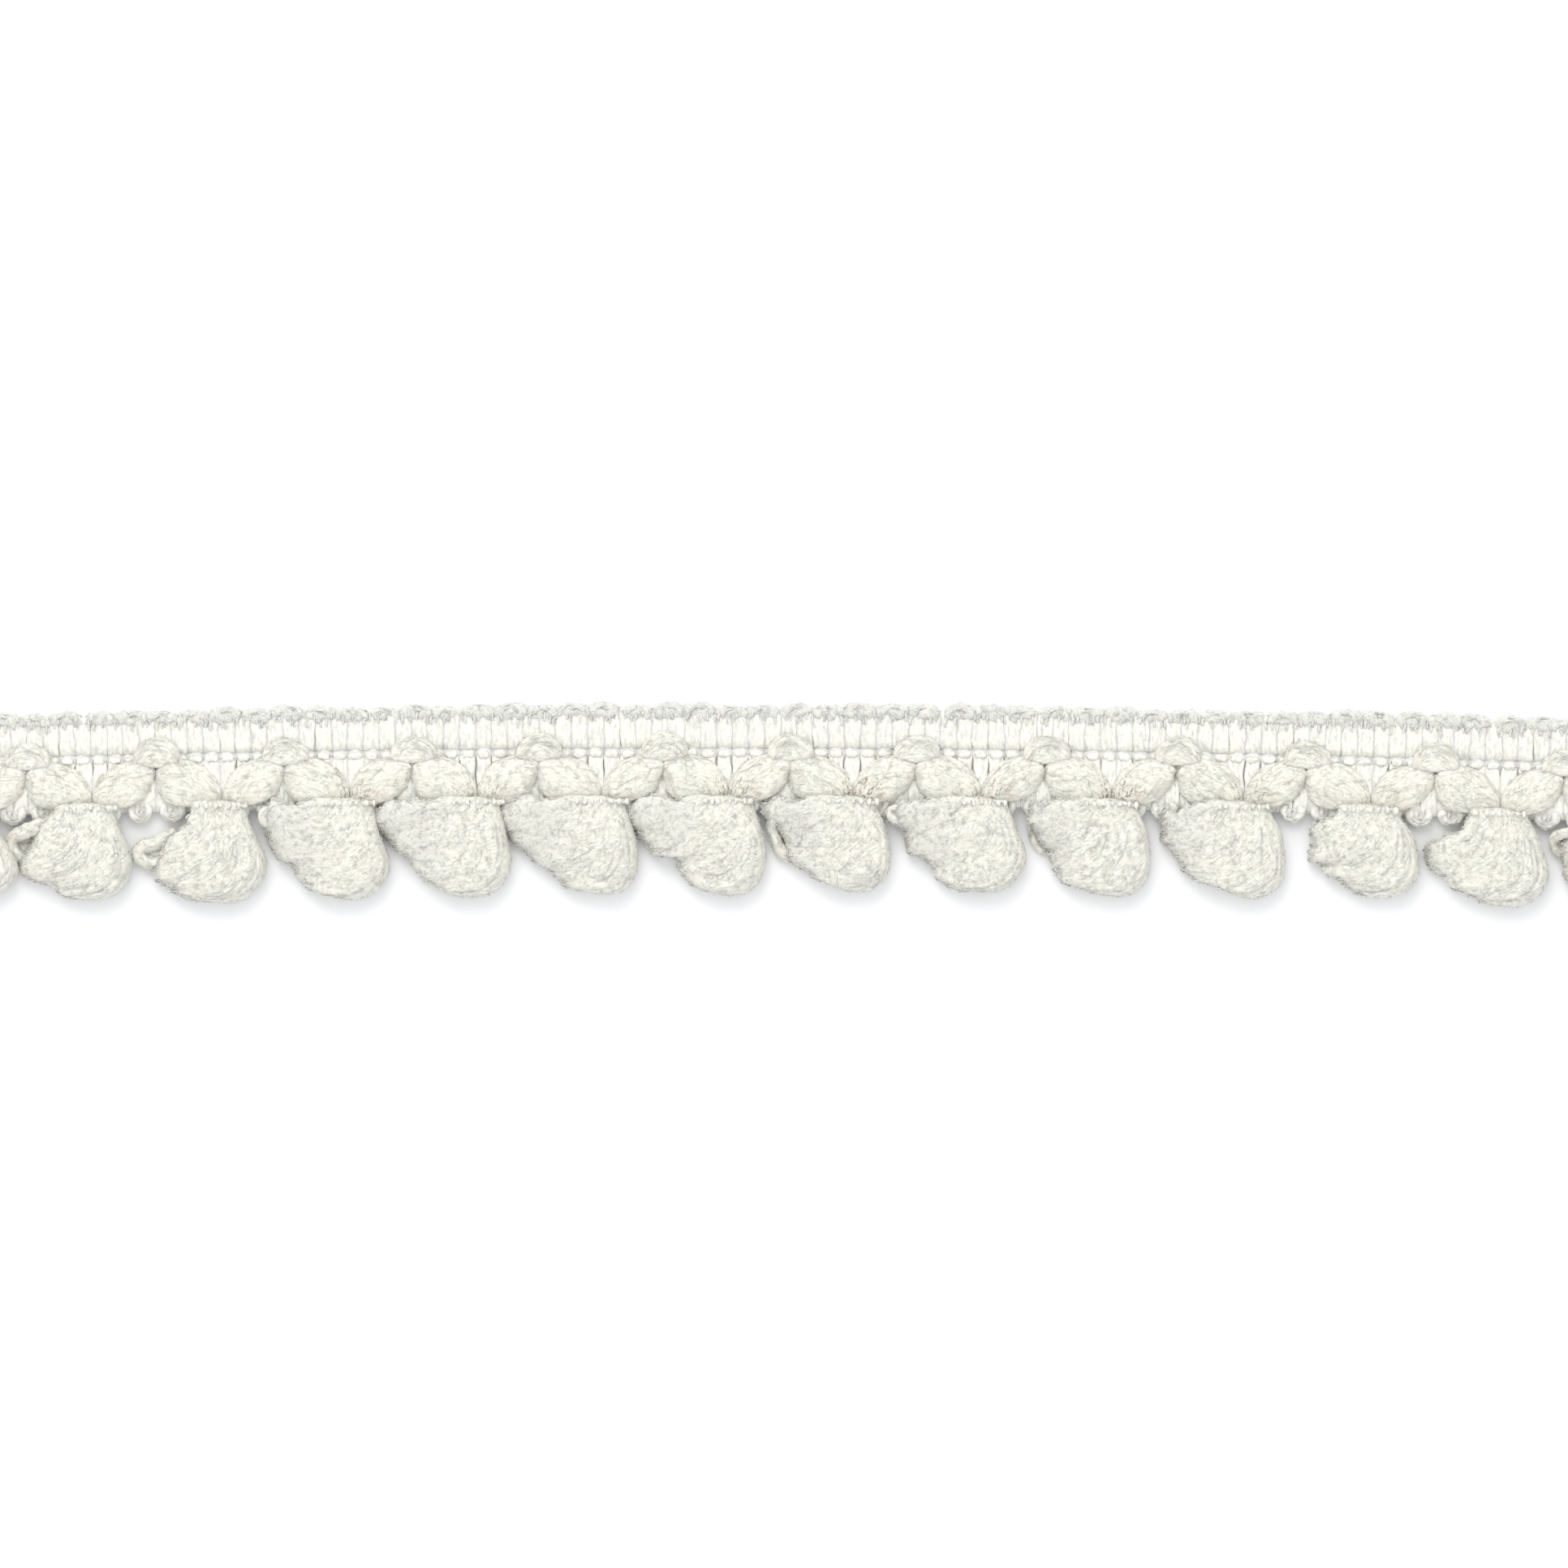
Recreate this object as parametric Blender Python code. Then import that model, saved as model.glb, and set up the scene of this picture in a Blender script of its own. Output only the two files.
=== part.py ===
"""A length of looped tassel fringe trim, lying face up on a flat surface.

The heading is a ribbed knitted band. Soft roving zigzags over its face in plump leaves, and below each
low point of the zigzag hangs a tassel of looped locks.

Frame: +X along the trim, +Y towards the heading's top edge, +Z out of its face. The origin is the
centre of the heading's back, on the surface that the trim rests on. Lengths below are in millimetres.
"""

import math

import bmesh
import bpy

MM = 0.001

# Driving sizes of the trim
TASSELS = 14
PITCH = 16.38
TRIM_LENGTH = TASSELS * PITCH
HEADING_WIDTH = 14.5
GAP = 0.3
BOW_RADIUS = 3200.0
BOW_APEX_X = -11.5

# The heading's knitting
COURSES_PER_TASSEL = 8
COURSES = TASSELS * COURSES_PER_TASSEL
COURSE_PITCH = TRIM_LENGTH / COURSES
# Each top arch and each picot spans two courses; a power below 1 makes its outline a round loop
COURSES_PER_ARCH = 2
ARCH_POWER = 0.6
TOP_SCALLOP = 0.35
PICOT_SCALLOP = 1.3
PICOT_CREST_SCALLOP = 0.8

# Levels across the heading: distance below its top edge, height of a rib, height between two ribs
HEADING_ROWS = (
    {"name": "edge", "down": 0.0, "rib": 0.55, "valley": 0.45},
    {"name": "arch crest", "down": 0.8, "rib": 1.45, "valley": 1.15},
    {"name": "satin top", "down": 1.7, "rib": 1.30, "valley": 1.00},
    {"name": "satin middle", "down": 3.2, "rib": 1.50, "valley": 1.15},
    {"name": "groove", "down": 5.4, "rib": 1.10, "valley": 1.00},
    {"name": "chain stitches", "down": 6.4, "rib": 1.50, "valley": 1.05},
    {"name": "lower floats", "down": 9.6, "rib": 1.40, "valley": 1.10},
    {"name": "lower edge", "down": 12.3, "rib": 1.10, "valley": 1.00},
    {"name": "picot crest", "down": 13.7, "rib": 1.20, "valley": 1.05},
    {"name": "picot tip", "down": HEADING_WIDTH, "rib": 0.55, "valley": 0.45},
)
HEADING_TOP_Z = 1.5
PICOT_TOP_Z = 1.2

# The roving that zigzags over the face: half a span, from a neck up to its peak
ROVING_BASE_Z = HEADING_TOP_Z + GAP
PEAK_OUT = PITCH / 2
ROVING_SECTIONS = (
    {"name": "neck", "out": 1.00, "down": 11.50, "half_width": 1.00, "height": 1.1},
    {"name": "leaf foot", "out": 2.60, "down": 10.60, "half_width": 2.10, "height": 1.9},
    {"name": "leaf", "out": 4.30, "down": 9.60, "half_width": 2.75, "height": 2.3},
    {"name": "leaf middle", "out": 5.80, "down": 8.70, "half_width": 2.75, "height": 2.3},
    {"name": "leaf top", "out": 6.90, "down": 7.70, "half_width": 2.10, "height": 1.9},
    {"name": "waist", "out": 7.10, "down": 6.40, "half_width": 1.55, "height": 1.6},
    {"name": "shoulder", "out": 7.15, "down": 5.50, "half_width": 1.65, "height": 1.8},
    {"name": "peak", "out": PEAK_OUT, "down": 5.00, "half_width": 1.75, "height": 1.9},
)
ROVING_LOWEST = 12.35
# A section of the roving: share of the half width to each side, share of the height
ROVING_PROFILE = (
    {"across": -1.0, "up": 0.0},
    {"across": 1.0, "up": 0.0},
    {"across": 0.82, "up": 0.62},
    {"across": 0.32, "up": 1.0},
    {"across": -0.32, "up": 1.0},
    {"across": -0.82, "up": 0.62},
)

# The tassels, from left to right. Each row: how far the neck is off its even place, the tip of the left
# wing, the middle of the ragged left flank, the depth of the belly and the reach of the right cheek,
# all from the neck, with places as (to the right, down).
TASSEL_SHAPES = (
    {"neck": 0.0, "wing": (-8.2, 3.2), "flank": (-7.6, 9.0), "belly": 11.4, "cheek": 5.6},
    {"neck": 0.0, "wing": (-10.9, 3.8), "flank": (-8.2, 8.8), "belly": 11.5, "cheek": 5.2},
    {"neck": 0.3, "wing": (-11.3, 5.8), "flank": (-7.6, 9.6), "belly": 11.8, "cheek": 5.6},
    {"neck": 0.2, "wing": (-11.5, 1.9), "flank": (-7.4, 7.9), "belly": 11.9, "cheek": 5.2},
    {"neck": 0.2, "wing": (-11.6, 2.5), "flank": (-7.8, 8.2), "belly": 11.8, "cheek": 4.6},
    {"neck": -0.3, "wing": (-11.5, 1.6), "flank": (-7.4, 8.3), "belly": 11.4, "cheek": 4.8},
    {"neck": -0.5, "wing": (-11.4, 2.6), "flank": (-6.8, 7.8), "belly": 11.8, "cheek": 4.9},
    {"neck": -0.9, "wing": (-10.3, 4.6), "flank": (-6.9, 8.6), "belly": 11.5, "cheek": 4.9},
    {"neck": -0.9, "wing": (-11.5, 1.4), "flank": (-8.0, 7.2), "belly": 11.4, "cheek": 5.5},
    {"neck": -0.6, "wing": (-11.2, 2.3), "flank": (-7.4, 8.6), "belly": 12.0, "cheek": 5.0},
    {"neck": -0.1, "wing": (-11.6, 1.5), "flank": (-7.8, 7.9), "belly": 11.9, "cheek": 5.5},
    {"neck": -0.2, "wing": (-9.4, 3.4), "flank": (-6.6, 7.0), "belly": 10.9, "cheek": 5.9},
    {"neck": 0.0, "wing": (-10.0, 3.0), "flank": (-7.8, 8.2), "belly": 11.8, "cheek": 5.4},
    {"neck": 0.0, "wing": (-10.0, 3.4), "flank": (-7.4, 8.4), "belly": 11.6, "cheek": 5.3},
)
NECK_DOWN = 12.65

# A tassel's head: a flat crescent across the neck, which lies on the picots
HEAD_HALF = 3.9
HEAD_BACK = 0.15
HEAD_FRONT = 0.9
HEAD_BULGE = 1.1
HEAD_BASE_Z = PICOT_TOP_Z + GAP

# Its locks: six that lie on the surface, and five on top of all but the first of them
LOWER_LOCKS = 6
UPPER_FROM = 1
UPPER_REACH = 0.80
LOCK_ROOT_HEIGHT = 0.85
LOCK_FULL_HEIGHT = 1.75
LOCK_TIP_HEIGHT = 0.75
LOCK_FULL_FROM = 0.35
LOCK_TIP_FROM = 0.85
LOCK_TOP_SHARE = 0.60
LOCK_TIP_SHARE = 0.60
# The locks are plumper towards the right cheek
PLUMP_LEFT = 0.85
PLUMP_RIGHT = 1.20
PLUMP_RISE = 4.0
# A lock has a section about this often, closer together near its tip
LOCK_STEP = 3.2
LOCK_STEPS_MIN = 4
LOCK_STEP_POWER = 1.15
# Three lengths of lock take turns, so the rim is uneven
LOCK_SHORTER = 0.035
LOCK_LENGTHS = 3
# Beyond the picots a lock comes down to the surface over this run
SETTLE_RUN = 1.2
# The toe is where the belly's outermost lock ends; the pulls carry its bends past the cheek and belly
TOE_BACK = 3.4
TOE_SHORT = 0.7
CHEEK_PULL = 2.1
CHEEK_SHARE = 0.50
BELLY_PULL = 1.25

CREAM = (0.88, 0.87, 0.80, 1.0)
FLUFFY_CREAM = (0.86, 0.85, 0.78, 1.0)


def clear_scene():
    """Remove whatever the scene starts with."""
    for obj in list(bpy.data.objects):
        bpy.data.objects.remove(obj, do_unlink=True)


def yarn_material(name, colour, roughness):
    """A plain matt yarn finish."""
    material = bpy.data.materials.new(name)
    material.use_nodes = True
    shader = material.node_tree.nodes["Principled BSDF"]
    shader.inputs["Base Color"].default_value = colour
    shader.inputs["Roughness"].default_value = roughness
    shader.inputs["Metallic"].default_value = 0.0
    return material


def on_trim(along, down, height):
    """The place of a point of the trim, which lies in a slight bow.

    along runs with the trim, down runs from its top edge across it, both in millimetres.
    """
    slope = (along - BOW_APEX_X) / BOW_RADIUS
    drop = (along - BOW_APEX_X) ** 2 / (2 * BOW_RADIUS) - BOW_APEX_X**2 / (2 * BOW_RADIUS)
    across = HEADING_WIDTH / 2 - down
    return ((along + across * slope) * MM, (across - drop) * MM, height * MM)


def add_object(name, bm, material):
    """Make an object of a finished mesh, with its faces pointing out."""
    bmesh.ops.recalc_face_normals(bm, faces=bm.faces)
    mesh = bpy.data.meshes.new(name)
    bm.to_mesh(mesh)
    bm.free()
    mesh.materials.append(material)
    obj = bpy.data.objects.new(name, mesh)
    bpy.context.collection.objects.link(obj)
    return obj


def bridge(bm, ring_a, ring_b):
    """Skin the wall between two rings that have the same number of points."""
    count = len(ring_a)
    for i in range(count):
        j = (i + 1) % count
        bm.faces.new((ring_a[i], ring_a[j], ring_b[j], ring_b[i]))


def build_heading(material):
    """The ribbed band: one column of points on each rib and one between each two ribs."""
    bm = bmesh.new()
    columns = 2 * COURSES + 1
    first = -TRIM_LENGTH / 2
    grid = []
    for c in range(columns):
        along = first + c * COURSE_PITCH / 2
        on_rib = c % 2 == 1
        arch = math.sin(math.pi * (c / 2 % COURSES_PER_ARCH) / COURSES_PER_ARCH) ** ARCH_POWER
        column = []
        for row in HEADING_ROWS:
            down = row["down"]
            if row["name"] == "edge":
                down += TOP_SCALLOP * (1 - arch)
            if row["name"] == "picot crest":
                down -= PICOT_CREST_SCALLOP * (1 - arch)
            if row["name"] == "picot tip":
                down -= PICOT_SCALLOP * (1 - arch)
            height = row["rib"] if on_rib else row["valley"]
            column.append(bm.verts.new(on_trim(along, down, height)))
        grid.append(column)
    for left, right in zip(grid, grid[1:]):
        for r in range(len(HEADING_ROWS) - 1):
            bm.faces.new((left[r], left[r + 1], right[r + 1], right[r]))

    def floor_point(vertex):
        return bm.verts.new((vertex.co.x, vertex.co.y, 0.0))

    top_floor = [floor_point(column[0]) for column in grid]
    low_floor = [floor_point(column[-1]) for column in grid]
    for c in range(columns - 1):
        bm.faces.new((grid[c][0], grid[c + 1][0], top_floor[c + 1], top_floor[c]))
        bm.faces.new((grid[c + 1][-1], grid[c][-1], low_floor[c], low_floor[c + 1]))
        bm.faces.new((top_floor[c], top_floor[c + 1], low_floor[c + 1], low_floor[c]))
    bm.faces.new([*grid[0], low_floor[0], top_floor[0]])
    bm.faces.new([*reversed(grid[-1]), top_floor[-1], low_floor[-1]])
    return add_object("heading", bm, material)


def neck_along(index):
    """Where a tassel's neck is along the trim."""
    even = (index - (TASSELS - 1) / 2) * PITCH
    if 0 <= index < TASSELS:
        return even + TASSEL_SHAPES[index]["neck"]
    return even


def roving_half(left_neck, right_neck, side, peak):
    """The sections of half a span, from its neck to its peak.

    side is 1 for the left half and -1 for the right half.
    """
    start = left_neck if side > 0 else right_neck
    stretch = abs(peak - start) / PEAK_OUT
    centres = [(start + side * s["out"] * stretch, s["down"]) for s in ROVING_SECTIONS]
    rings = []
    for k, section in enumerate(ROVING_SECTIONS):
        before = centres[max(k - 1, 0)]
        after = centres[min(k + 1, len(centres) - 1)]
        run_x, run_down = after[0] - before[0], after[1] - before[1]
        if section["name"] == "peak":
            run_x, run_down = side, 0.0
        length = math.hypot(run_x, run_down)
        # Across the roving, away from the span's inner side
        out_x, out_down = run_down / length * side, -run_x / length * side
        ring = []
        for point in ROVING_PROFILE:
            reach = point["across"] * section["half_width"]
            along = centres[k][0] + out_x * reach
            down = min(centres[k][1] + out_down * reach, ROVING_LOWEST)
            if section["name"] != "peak":
                low = start + GAP / 2 if side > 0 else peak + GAP / 2
                high = peak - GAP / 2 if side > 0 else start - GAP / 2
                along = min(max(along, low), high)
            height = ROVING_BASE_Z + point["up"] * section["height"]
            ring.append((along, down, height))
        rings.append(ring)
    return rings


def build_roving(index, material):
    """One span of the zigzag, or half a span at an end of the trim."""
    left_neck, right_neck = neck_along(index - 1), neck_along(index)
    peak = (left_neck + right_neck) / 2
    if index == 0:
        peak = -TRIM_LENGTH / 2
    if index == TASSELS:
        peak = TRIM_LENGTH / 2
    rings = []
    if index > 0:
        rings += roving_half(left_neck, right_neck, 1, peak)
    if index < TASSELS:
        right = roving_half(left_neck, right_neck, -1, peak)[::-1]
        rings += right[1:] if rings else right
    bm = bmesh.new()
    loops = [[bm.verts.new(on_trim(*p)) for p in ring] for ring in rings]
    for ring_a, ring_b in zip(loops, loops[1:]):
        bridge(bm, ring_a, ring_b)
    bm.faces.new(loops[0])
    bm.faces.new(loops[-1])
    return add_object(f"roving_{index:02d}", bm, material)


def fan_point(shape, a, t):
    """A point of a tassel's fan, from its neck.

    a runs from the left wing, 0, to the right cheek, 1, and t from the root, 0, to the tip, 1.
    """
    wing, flank = shape["wing"], shape["flank"]
    toe = (-TOE_BACK, shape["belly"] - TOE_SHORT)
    root = (-HEAD_HALF + 2 * HEAD_HALF * a, HEAD_FRONT + HEAD_BULGE * math.sin(math.pi * a))
    # The tips lie on the ragged left rim: a curve from the wing through the flank to the toe
    through = [2 * flank[k] - (wing[k] + toe[k]) / 2 for k in (0, 1)]
    tip = [(1 - a) ** 2 * wing[k] + 2 * a * (1 - a) * through[k] + a**2 * toe[k] for k in (0, 1)]
    left_bend = [
        [root[k] + (wing[k] - root[k]) * share for k in (0, 1)]
        for share in (1 / 3, 2 / 3)
    ]
    right_bend = (
        (HEAD_HALF + CHEEK_PULL * (shape["cheek"] - HEAD_HALF), CHEEK_SHARE * shape["belly"]),
        (shape["cheek"], BELLY_PULL * shape["belly"]),
    )
    bends = [[left_bend[n][k] * (1 - a) + right_bend[n][k] * a for k in (0, 1)] for n in (0, 1)]
    weights = ((1 - t) ** 3, 3 * t * (1 - t) ** 2, 3 * t**2 * (1 - t), t**3)
    return [
        sum(w * p[k] for w, p in zip(weights, (root, bends[0], bends[1], tip)))
        for k in (0, 1)
    ]


def rest_height(down):
    """What a lock lies on: the picots just below the neck, then the surface."""
    clear_at = HEADING_WIDTH + GAP - NECK_DOWN
    share = min(max((down - clear_at) / SETTLE_RUN, 0.0), 1.0)
    return HEAD_BASE_Z * (1 - share)


def lock_height(t):
    """The thickness of a lock: thin at its root, full, and low at its round tip."""
    if t < LOCK_FULL_FROM:
        rise = math.sin(t / LOCK_FULL_FROM * math.pi / 2)
        return LOCK_ROOT_HEIGHT + (LOCK_FULL_HEIGHT - LOCK_ROOT_HEIGHT) * rise
    return LOCK_FULL_HEIGHT + (LOCK_TIP_HEIGHT - LOCK_FULL_HEIGHT) * tip_share(t)


def tip_share(t):
    """How far a place on a lock is into its tip, from 0 to 1."""
    return max(0.0, (t - LOCK_TIP_FROM) / (1 - LOCK_TIP_FROM))


def lock_section(shape, edges, t, layer):
    """The four corners of a lock at t: low left, low right, top right, top left."""
    reach = 1.0 if layer == "lower" else UPPER_REACH
    left, right = fan_point(shape, edges[0], t * reach), fan_point(shape, edges[1], t * reach)
    inset = GAP / 2 / math.dist(left, right) + (1 - LOCK_TIP_SHARE) / 2 * tip_share(t)
    low_left, low_right = [
        [left[k] + (right[k] - left[k]) * share for k in (0, 1)] for share in (inset, 1 - inset)
    ]
    middle = (edges[0] + edges[1]) / 2 * min(t * PLUMP_RISE, 1.0)
    plump = PLUMP_LEFT + (PLUMP_RIGHT - PLUMP_LEFT) * middle
    bottom = rest_height(min(low_left[1], low_right[1]))
    top = bottom + lock_height(t * reach) * plump
    if layer == "upper":
        bottom = top + GAP
        top = bottom + lock_height(t) * plump
    narrow = (1 - LOCK_TOP_SHARE) / 2
    return [
        (
            low_left[0] + (low_right[0] - low_left[0]) * share,
            low_left[1] + (low_right[1] - low_left[1]) * share,
            height,
        )
        for share, height in ((0, bottom), (1, bottom), (1 - narrow, top), (narrow, top))
    ]


def grow_lock(bm, shape, root, edges, layer, length_turn, add_point):
    """Carry a lock from its root on the head's front wall to its tip."""
    middle = (edges[0] + edges[1]) / 2
    points = [fan_point(shape, middle, k / 8) for k in range(9)]
    length = sum(math.dist(p, q) for p, q in zip(points, points[1:]))
    steps = max(LOCK_STEPS_MIN, round(length / LOCK_STEP))
    end = 1.0 - LOCK_SHORTER * (length_turn % LOCK_LENGTHS)
    ring = list(root)
    for k in range(1, steps + 1):
        t = end * (1 - (1 - k / steps) ** LOCK_STEP_POWER)
        following = [add_point(p) for p in lock_section(shape, edges, t, layer)]
        bridge(bm, ring, following)
        ring = following
    bm.faces.new(ring)


def build_tassel(index, material):
    """A tassel: the head across the neck, and its locks growing out of the head's front wall."""
    shape = TASSEL_SHAPES[index]
    neck = neck_along(index)
    bm = bmesh.new()

    def add_point(point):
        return bm.verts.new(on_trim(neck + point[0], NECK_DOWN + point[1], point[2]))

    # The front wall is a grid of points: across it the sides of the locks, up it their bottoms and tops
    levels = [HEAD_BASE_Z]
    for height in (LOCK_ROOT_HEIGHT, GAP, LOCK_ROOT_HEIGHT):
        levels.append(levels[-1] + height)
    sides = [(0.0, 0.0)]
    for lock in range(LOWER_LOCKS):
        sides += [(lock / LOWER_LOCKS, GAP / 2), ((lock + 1) / LOWER_LOCKS, -GAP / 2)]
    sides.append((1.0, 0.0))
    wall = []
    for a, nudge in sides:
        at = fan_point(shape, a, 0.0)
        wall.append([add_point((at[0] + nudge, at[1], z)) for z in levels])
    for c, (left, right) in enumerate(zip(wall, wall[1:])):
        lock = (c - 1) // 2
        is_lock = c % 2 == 1
        for r, layer in enumerate(("lower", None, "upper")):
            corners = (left[r], right[r], right[r + 1], left[r + 1])
            if is_lock and (layer == "lower" or layer == "upper" and lock >= UPPER_FROM):
                edges = (lock / LOWER_LOCKS, (lock + 1) / LOWER_LOCKS)
                grow_lock(bm, shape, corners, edges, layer, index + lock, add_point)
            else:
                bm.faces.new(corners)

    # The rest of the head: its underside, top, back and two ends
    back = [
        [add_point((side * HEAD_HALF, HEAD_BACK, z)) for z in (levels[0], levels[-1])]
        for side in (-1, 1)
    ]
    bm.faces.new([*[column[0] for column in wall], back[1][0], back[0][0]])
    bm.faces.new([*[column[-1] for column in wall], back[1][1], back[0][1]])
    bm.faces.new((back[0][0], back[0][1], back[1][1], back[1][0]))
    bm.faces.new([*wall[0], back[0][1], back[0][0]])
    bm.faces.new([*wall[-1], back[1][1], back[1][0]])
    return add_object(f"tassel_{index:02d}", bm, material)


def main():
    clear_scene()
    band = yarn_material("heading yarn", CREAM, 0.8)
    fluffy = yarn_material("brushed roving", FLUFFY_CREAM, 0.9)
    build_heading(band)
    for index in range(TASSELS + 1):
        build_roving(index, fluffy)
    for index in range(TASSELS):
        build_tassel(index, fluffy)


main()
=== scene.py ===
import math
import random

import bpy
import numpy as np
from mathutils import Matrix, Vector, noise


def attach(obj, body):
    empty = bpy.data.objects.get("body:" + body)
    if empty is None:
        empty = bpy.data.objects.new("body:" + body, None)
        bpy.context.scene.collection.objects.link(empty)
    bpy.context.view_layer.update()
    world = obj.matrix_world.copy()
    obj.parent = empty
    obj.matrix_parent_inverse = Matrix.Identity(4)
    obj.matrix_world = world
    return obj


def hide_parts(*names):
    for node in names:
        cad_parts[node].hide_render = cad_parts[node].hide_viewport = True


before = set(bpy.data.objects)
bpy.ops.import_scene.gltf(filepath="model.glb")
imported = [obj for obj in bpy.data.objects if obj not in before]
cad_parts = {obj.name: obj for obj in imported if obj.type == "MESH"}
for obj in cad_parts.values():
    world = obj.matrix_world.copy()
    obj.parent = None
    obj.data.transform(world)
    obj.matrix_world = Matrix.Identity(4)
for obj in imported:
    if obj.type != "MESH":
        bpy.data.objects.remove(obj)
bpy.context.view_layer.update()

# The heading's ground. The real one is a flat crochet-knitted band of cotton yarn, worked in upright
# courses, and all the rest is knitted into it or laid over it. It lies face up in a slight bow.
MM = 0.001
TASSELS = 14
TASSEL_PITCH = 16.38
LENGTH = TASSELS * TASSEL_PITCH
WIDTH = 14.5
BOW_RADIUS = 3200.0
BOW_AT = -11.5
COURSES = 112
COURSE = LENGTH / COURSES
GROUND_TOP = 0.9
GROUND_FOOT = 13.2
# Down from the top edge, height over a wale, height between two wales, all in millimetres
GROUND_ROWS = (
    (0.90, 0.90, 0.80), (1.50, 1.25, 1.12), (3.20, 1.30, 1.15), (5.00, 1.25, 1.00),
    (5.55, 0.95, 0.70), (6.20, 0.90, 0.60), (7.20, 1.15, 0.60), (9.60, 1.25, 0.75),
    (12.0, 1.30, 1.10), (13.2, 1.10, 1.00),
)
GROUND_STEPS = 14
STEPS_PER_COURSE = 4
# A stitch of the knitting is this long down the band
STITCH_DROP = 0.9
KNIT_RELIEF = 0.06
BACK_RELIEF = 0.12


def on_trim(along, down, height):
    """Places on the trim in metres: along it, down from its top edge and up off its back, in mm."""
    along, down, height = (np.asarray(v, float) for v in (along, down, height))
    lean = (along - BOW_AT) / BOW_RADIUS
    sag = ((along - BOW_AT) ** 2 - BOW_AT**2) / (2 * BOW_RADIUS)
    across = WIDTH / 2 - down
    return np.stack(np.broadcast_arrays(along + across * lean, across - sag, height), -1) * MM


def feed(tree, slots, values):
    """Feeds inputs in order, each by a socket or a plain value. None leaves one as it is."""
    for slot, value in zip(slots, values):
        if isinstance(value, bpy.types.NodeSocket):
            tree.links.new(value, slot)
        elif value is not None:
            slot.default_value = value


def put(tree, kind, *values, **options):
    """Adds a node, sets its options and feeds its inputs. It gives the node's outputs."""
    made = tree.nodes.new(kind)
    for name, value in options.items():
        setattr(made, name, value)
    feed(tree, [s for s in made.inputs if s.enabled], values)
    outputs = [s for s in made.outputs if s.enabled]
    return outputs[0] if len(outputs) == 1 else outputs


def tree_inputs(tree, sockets):
    """Names a tree's inputs, each with its kind and, where it has one, its usual value."""
    for name, kind, *usual in sockets:
        socket = tree.interface.new_socket(name, in_out="INPUT", socket_type="NodeSocket" + kind)
        if usual:
            socket.default_value = usual[0]


# The grey paints shade on the full wings; the beige and the brown mark the necks
WING_SHADE_GREY = (0.56, 0.56, 0.53, 1)
NECK_BEIGE = (0.66, 0.60, 0.48, 1)
FLECK_BROWN = (0.24, 0.19, 0.135, 1)
HAIR_HALF_WIDTH = 0.055


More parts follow.
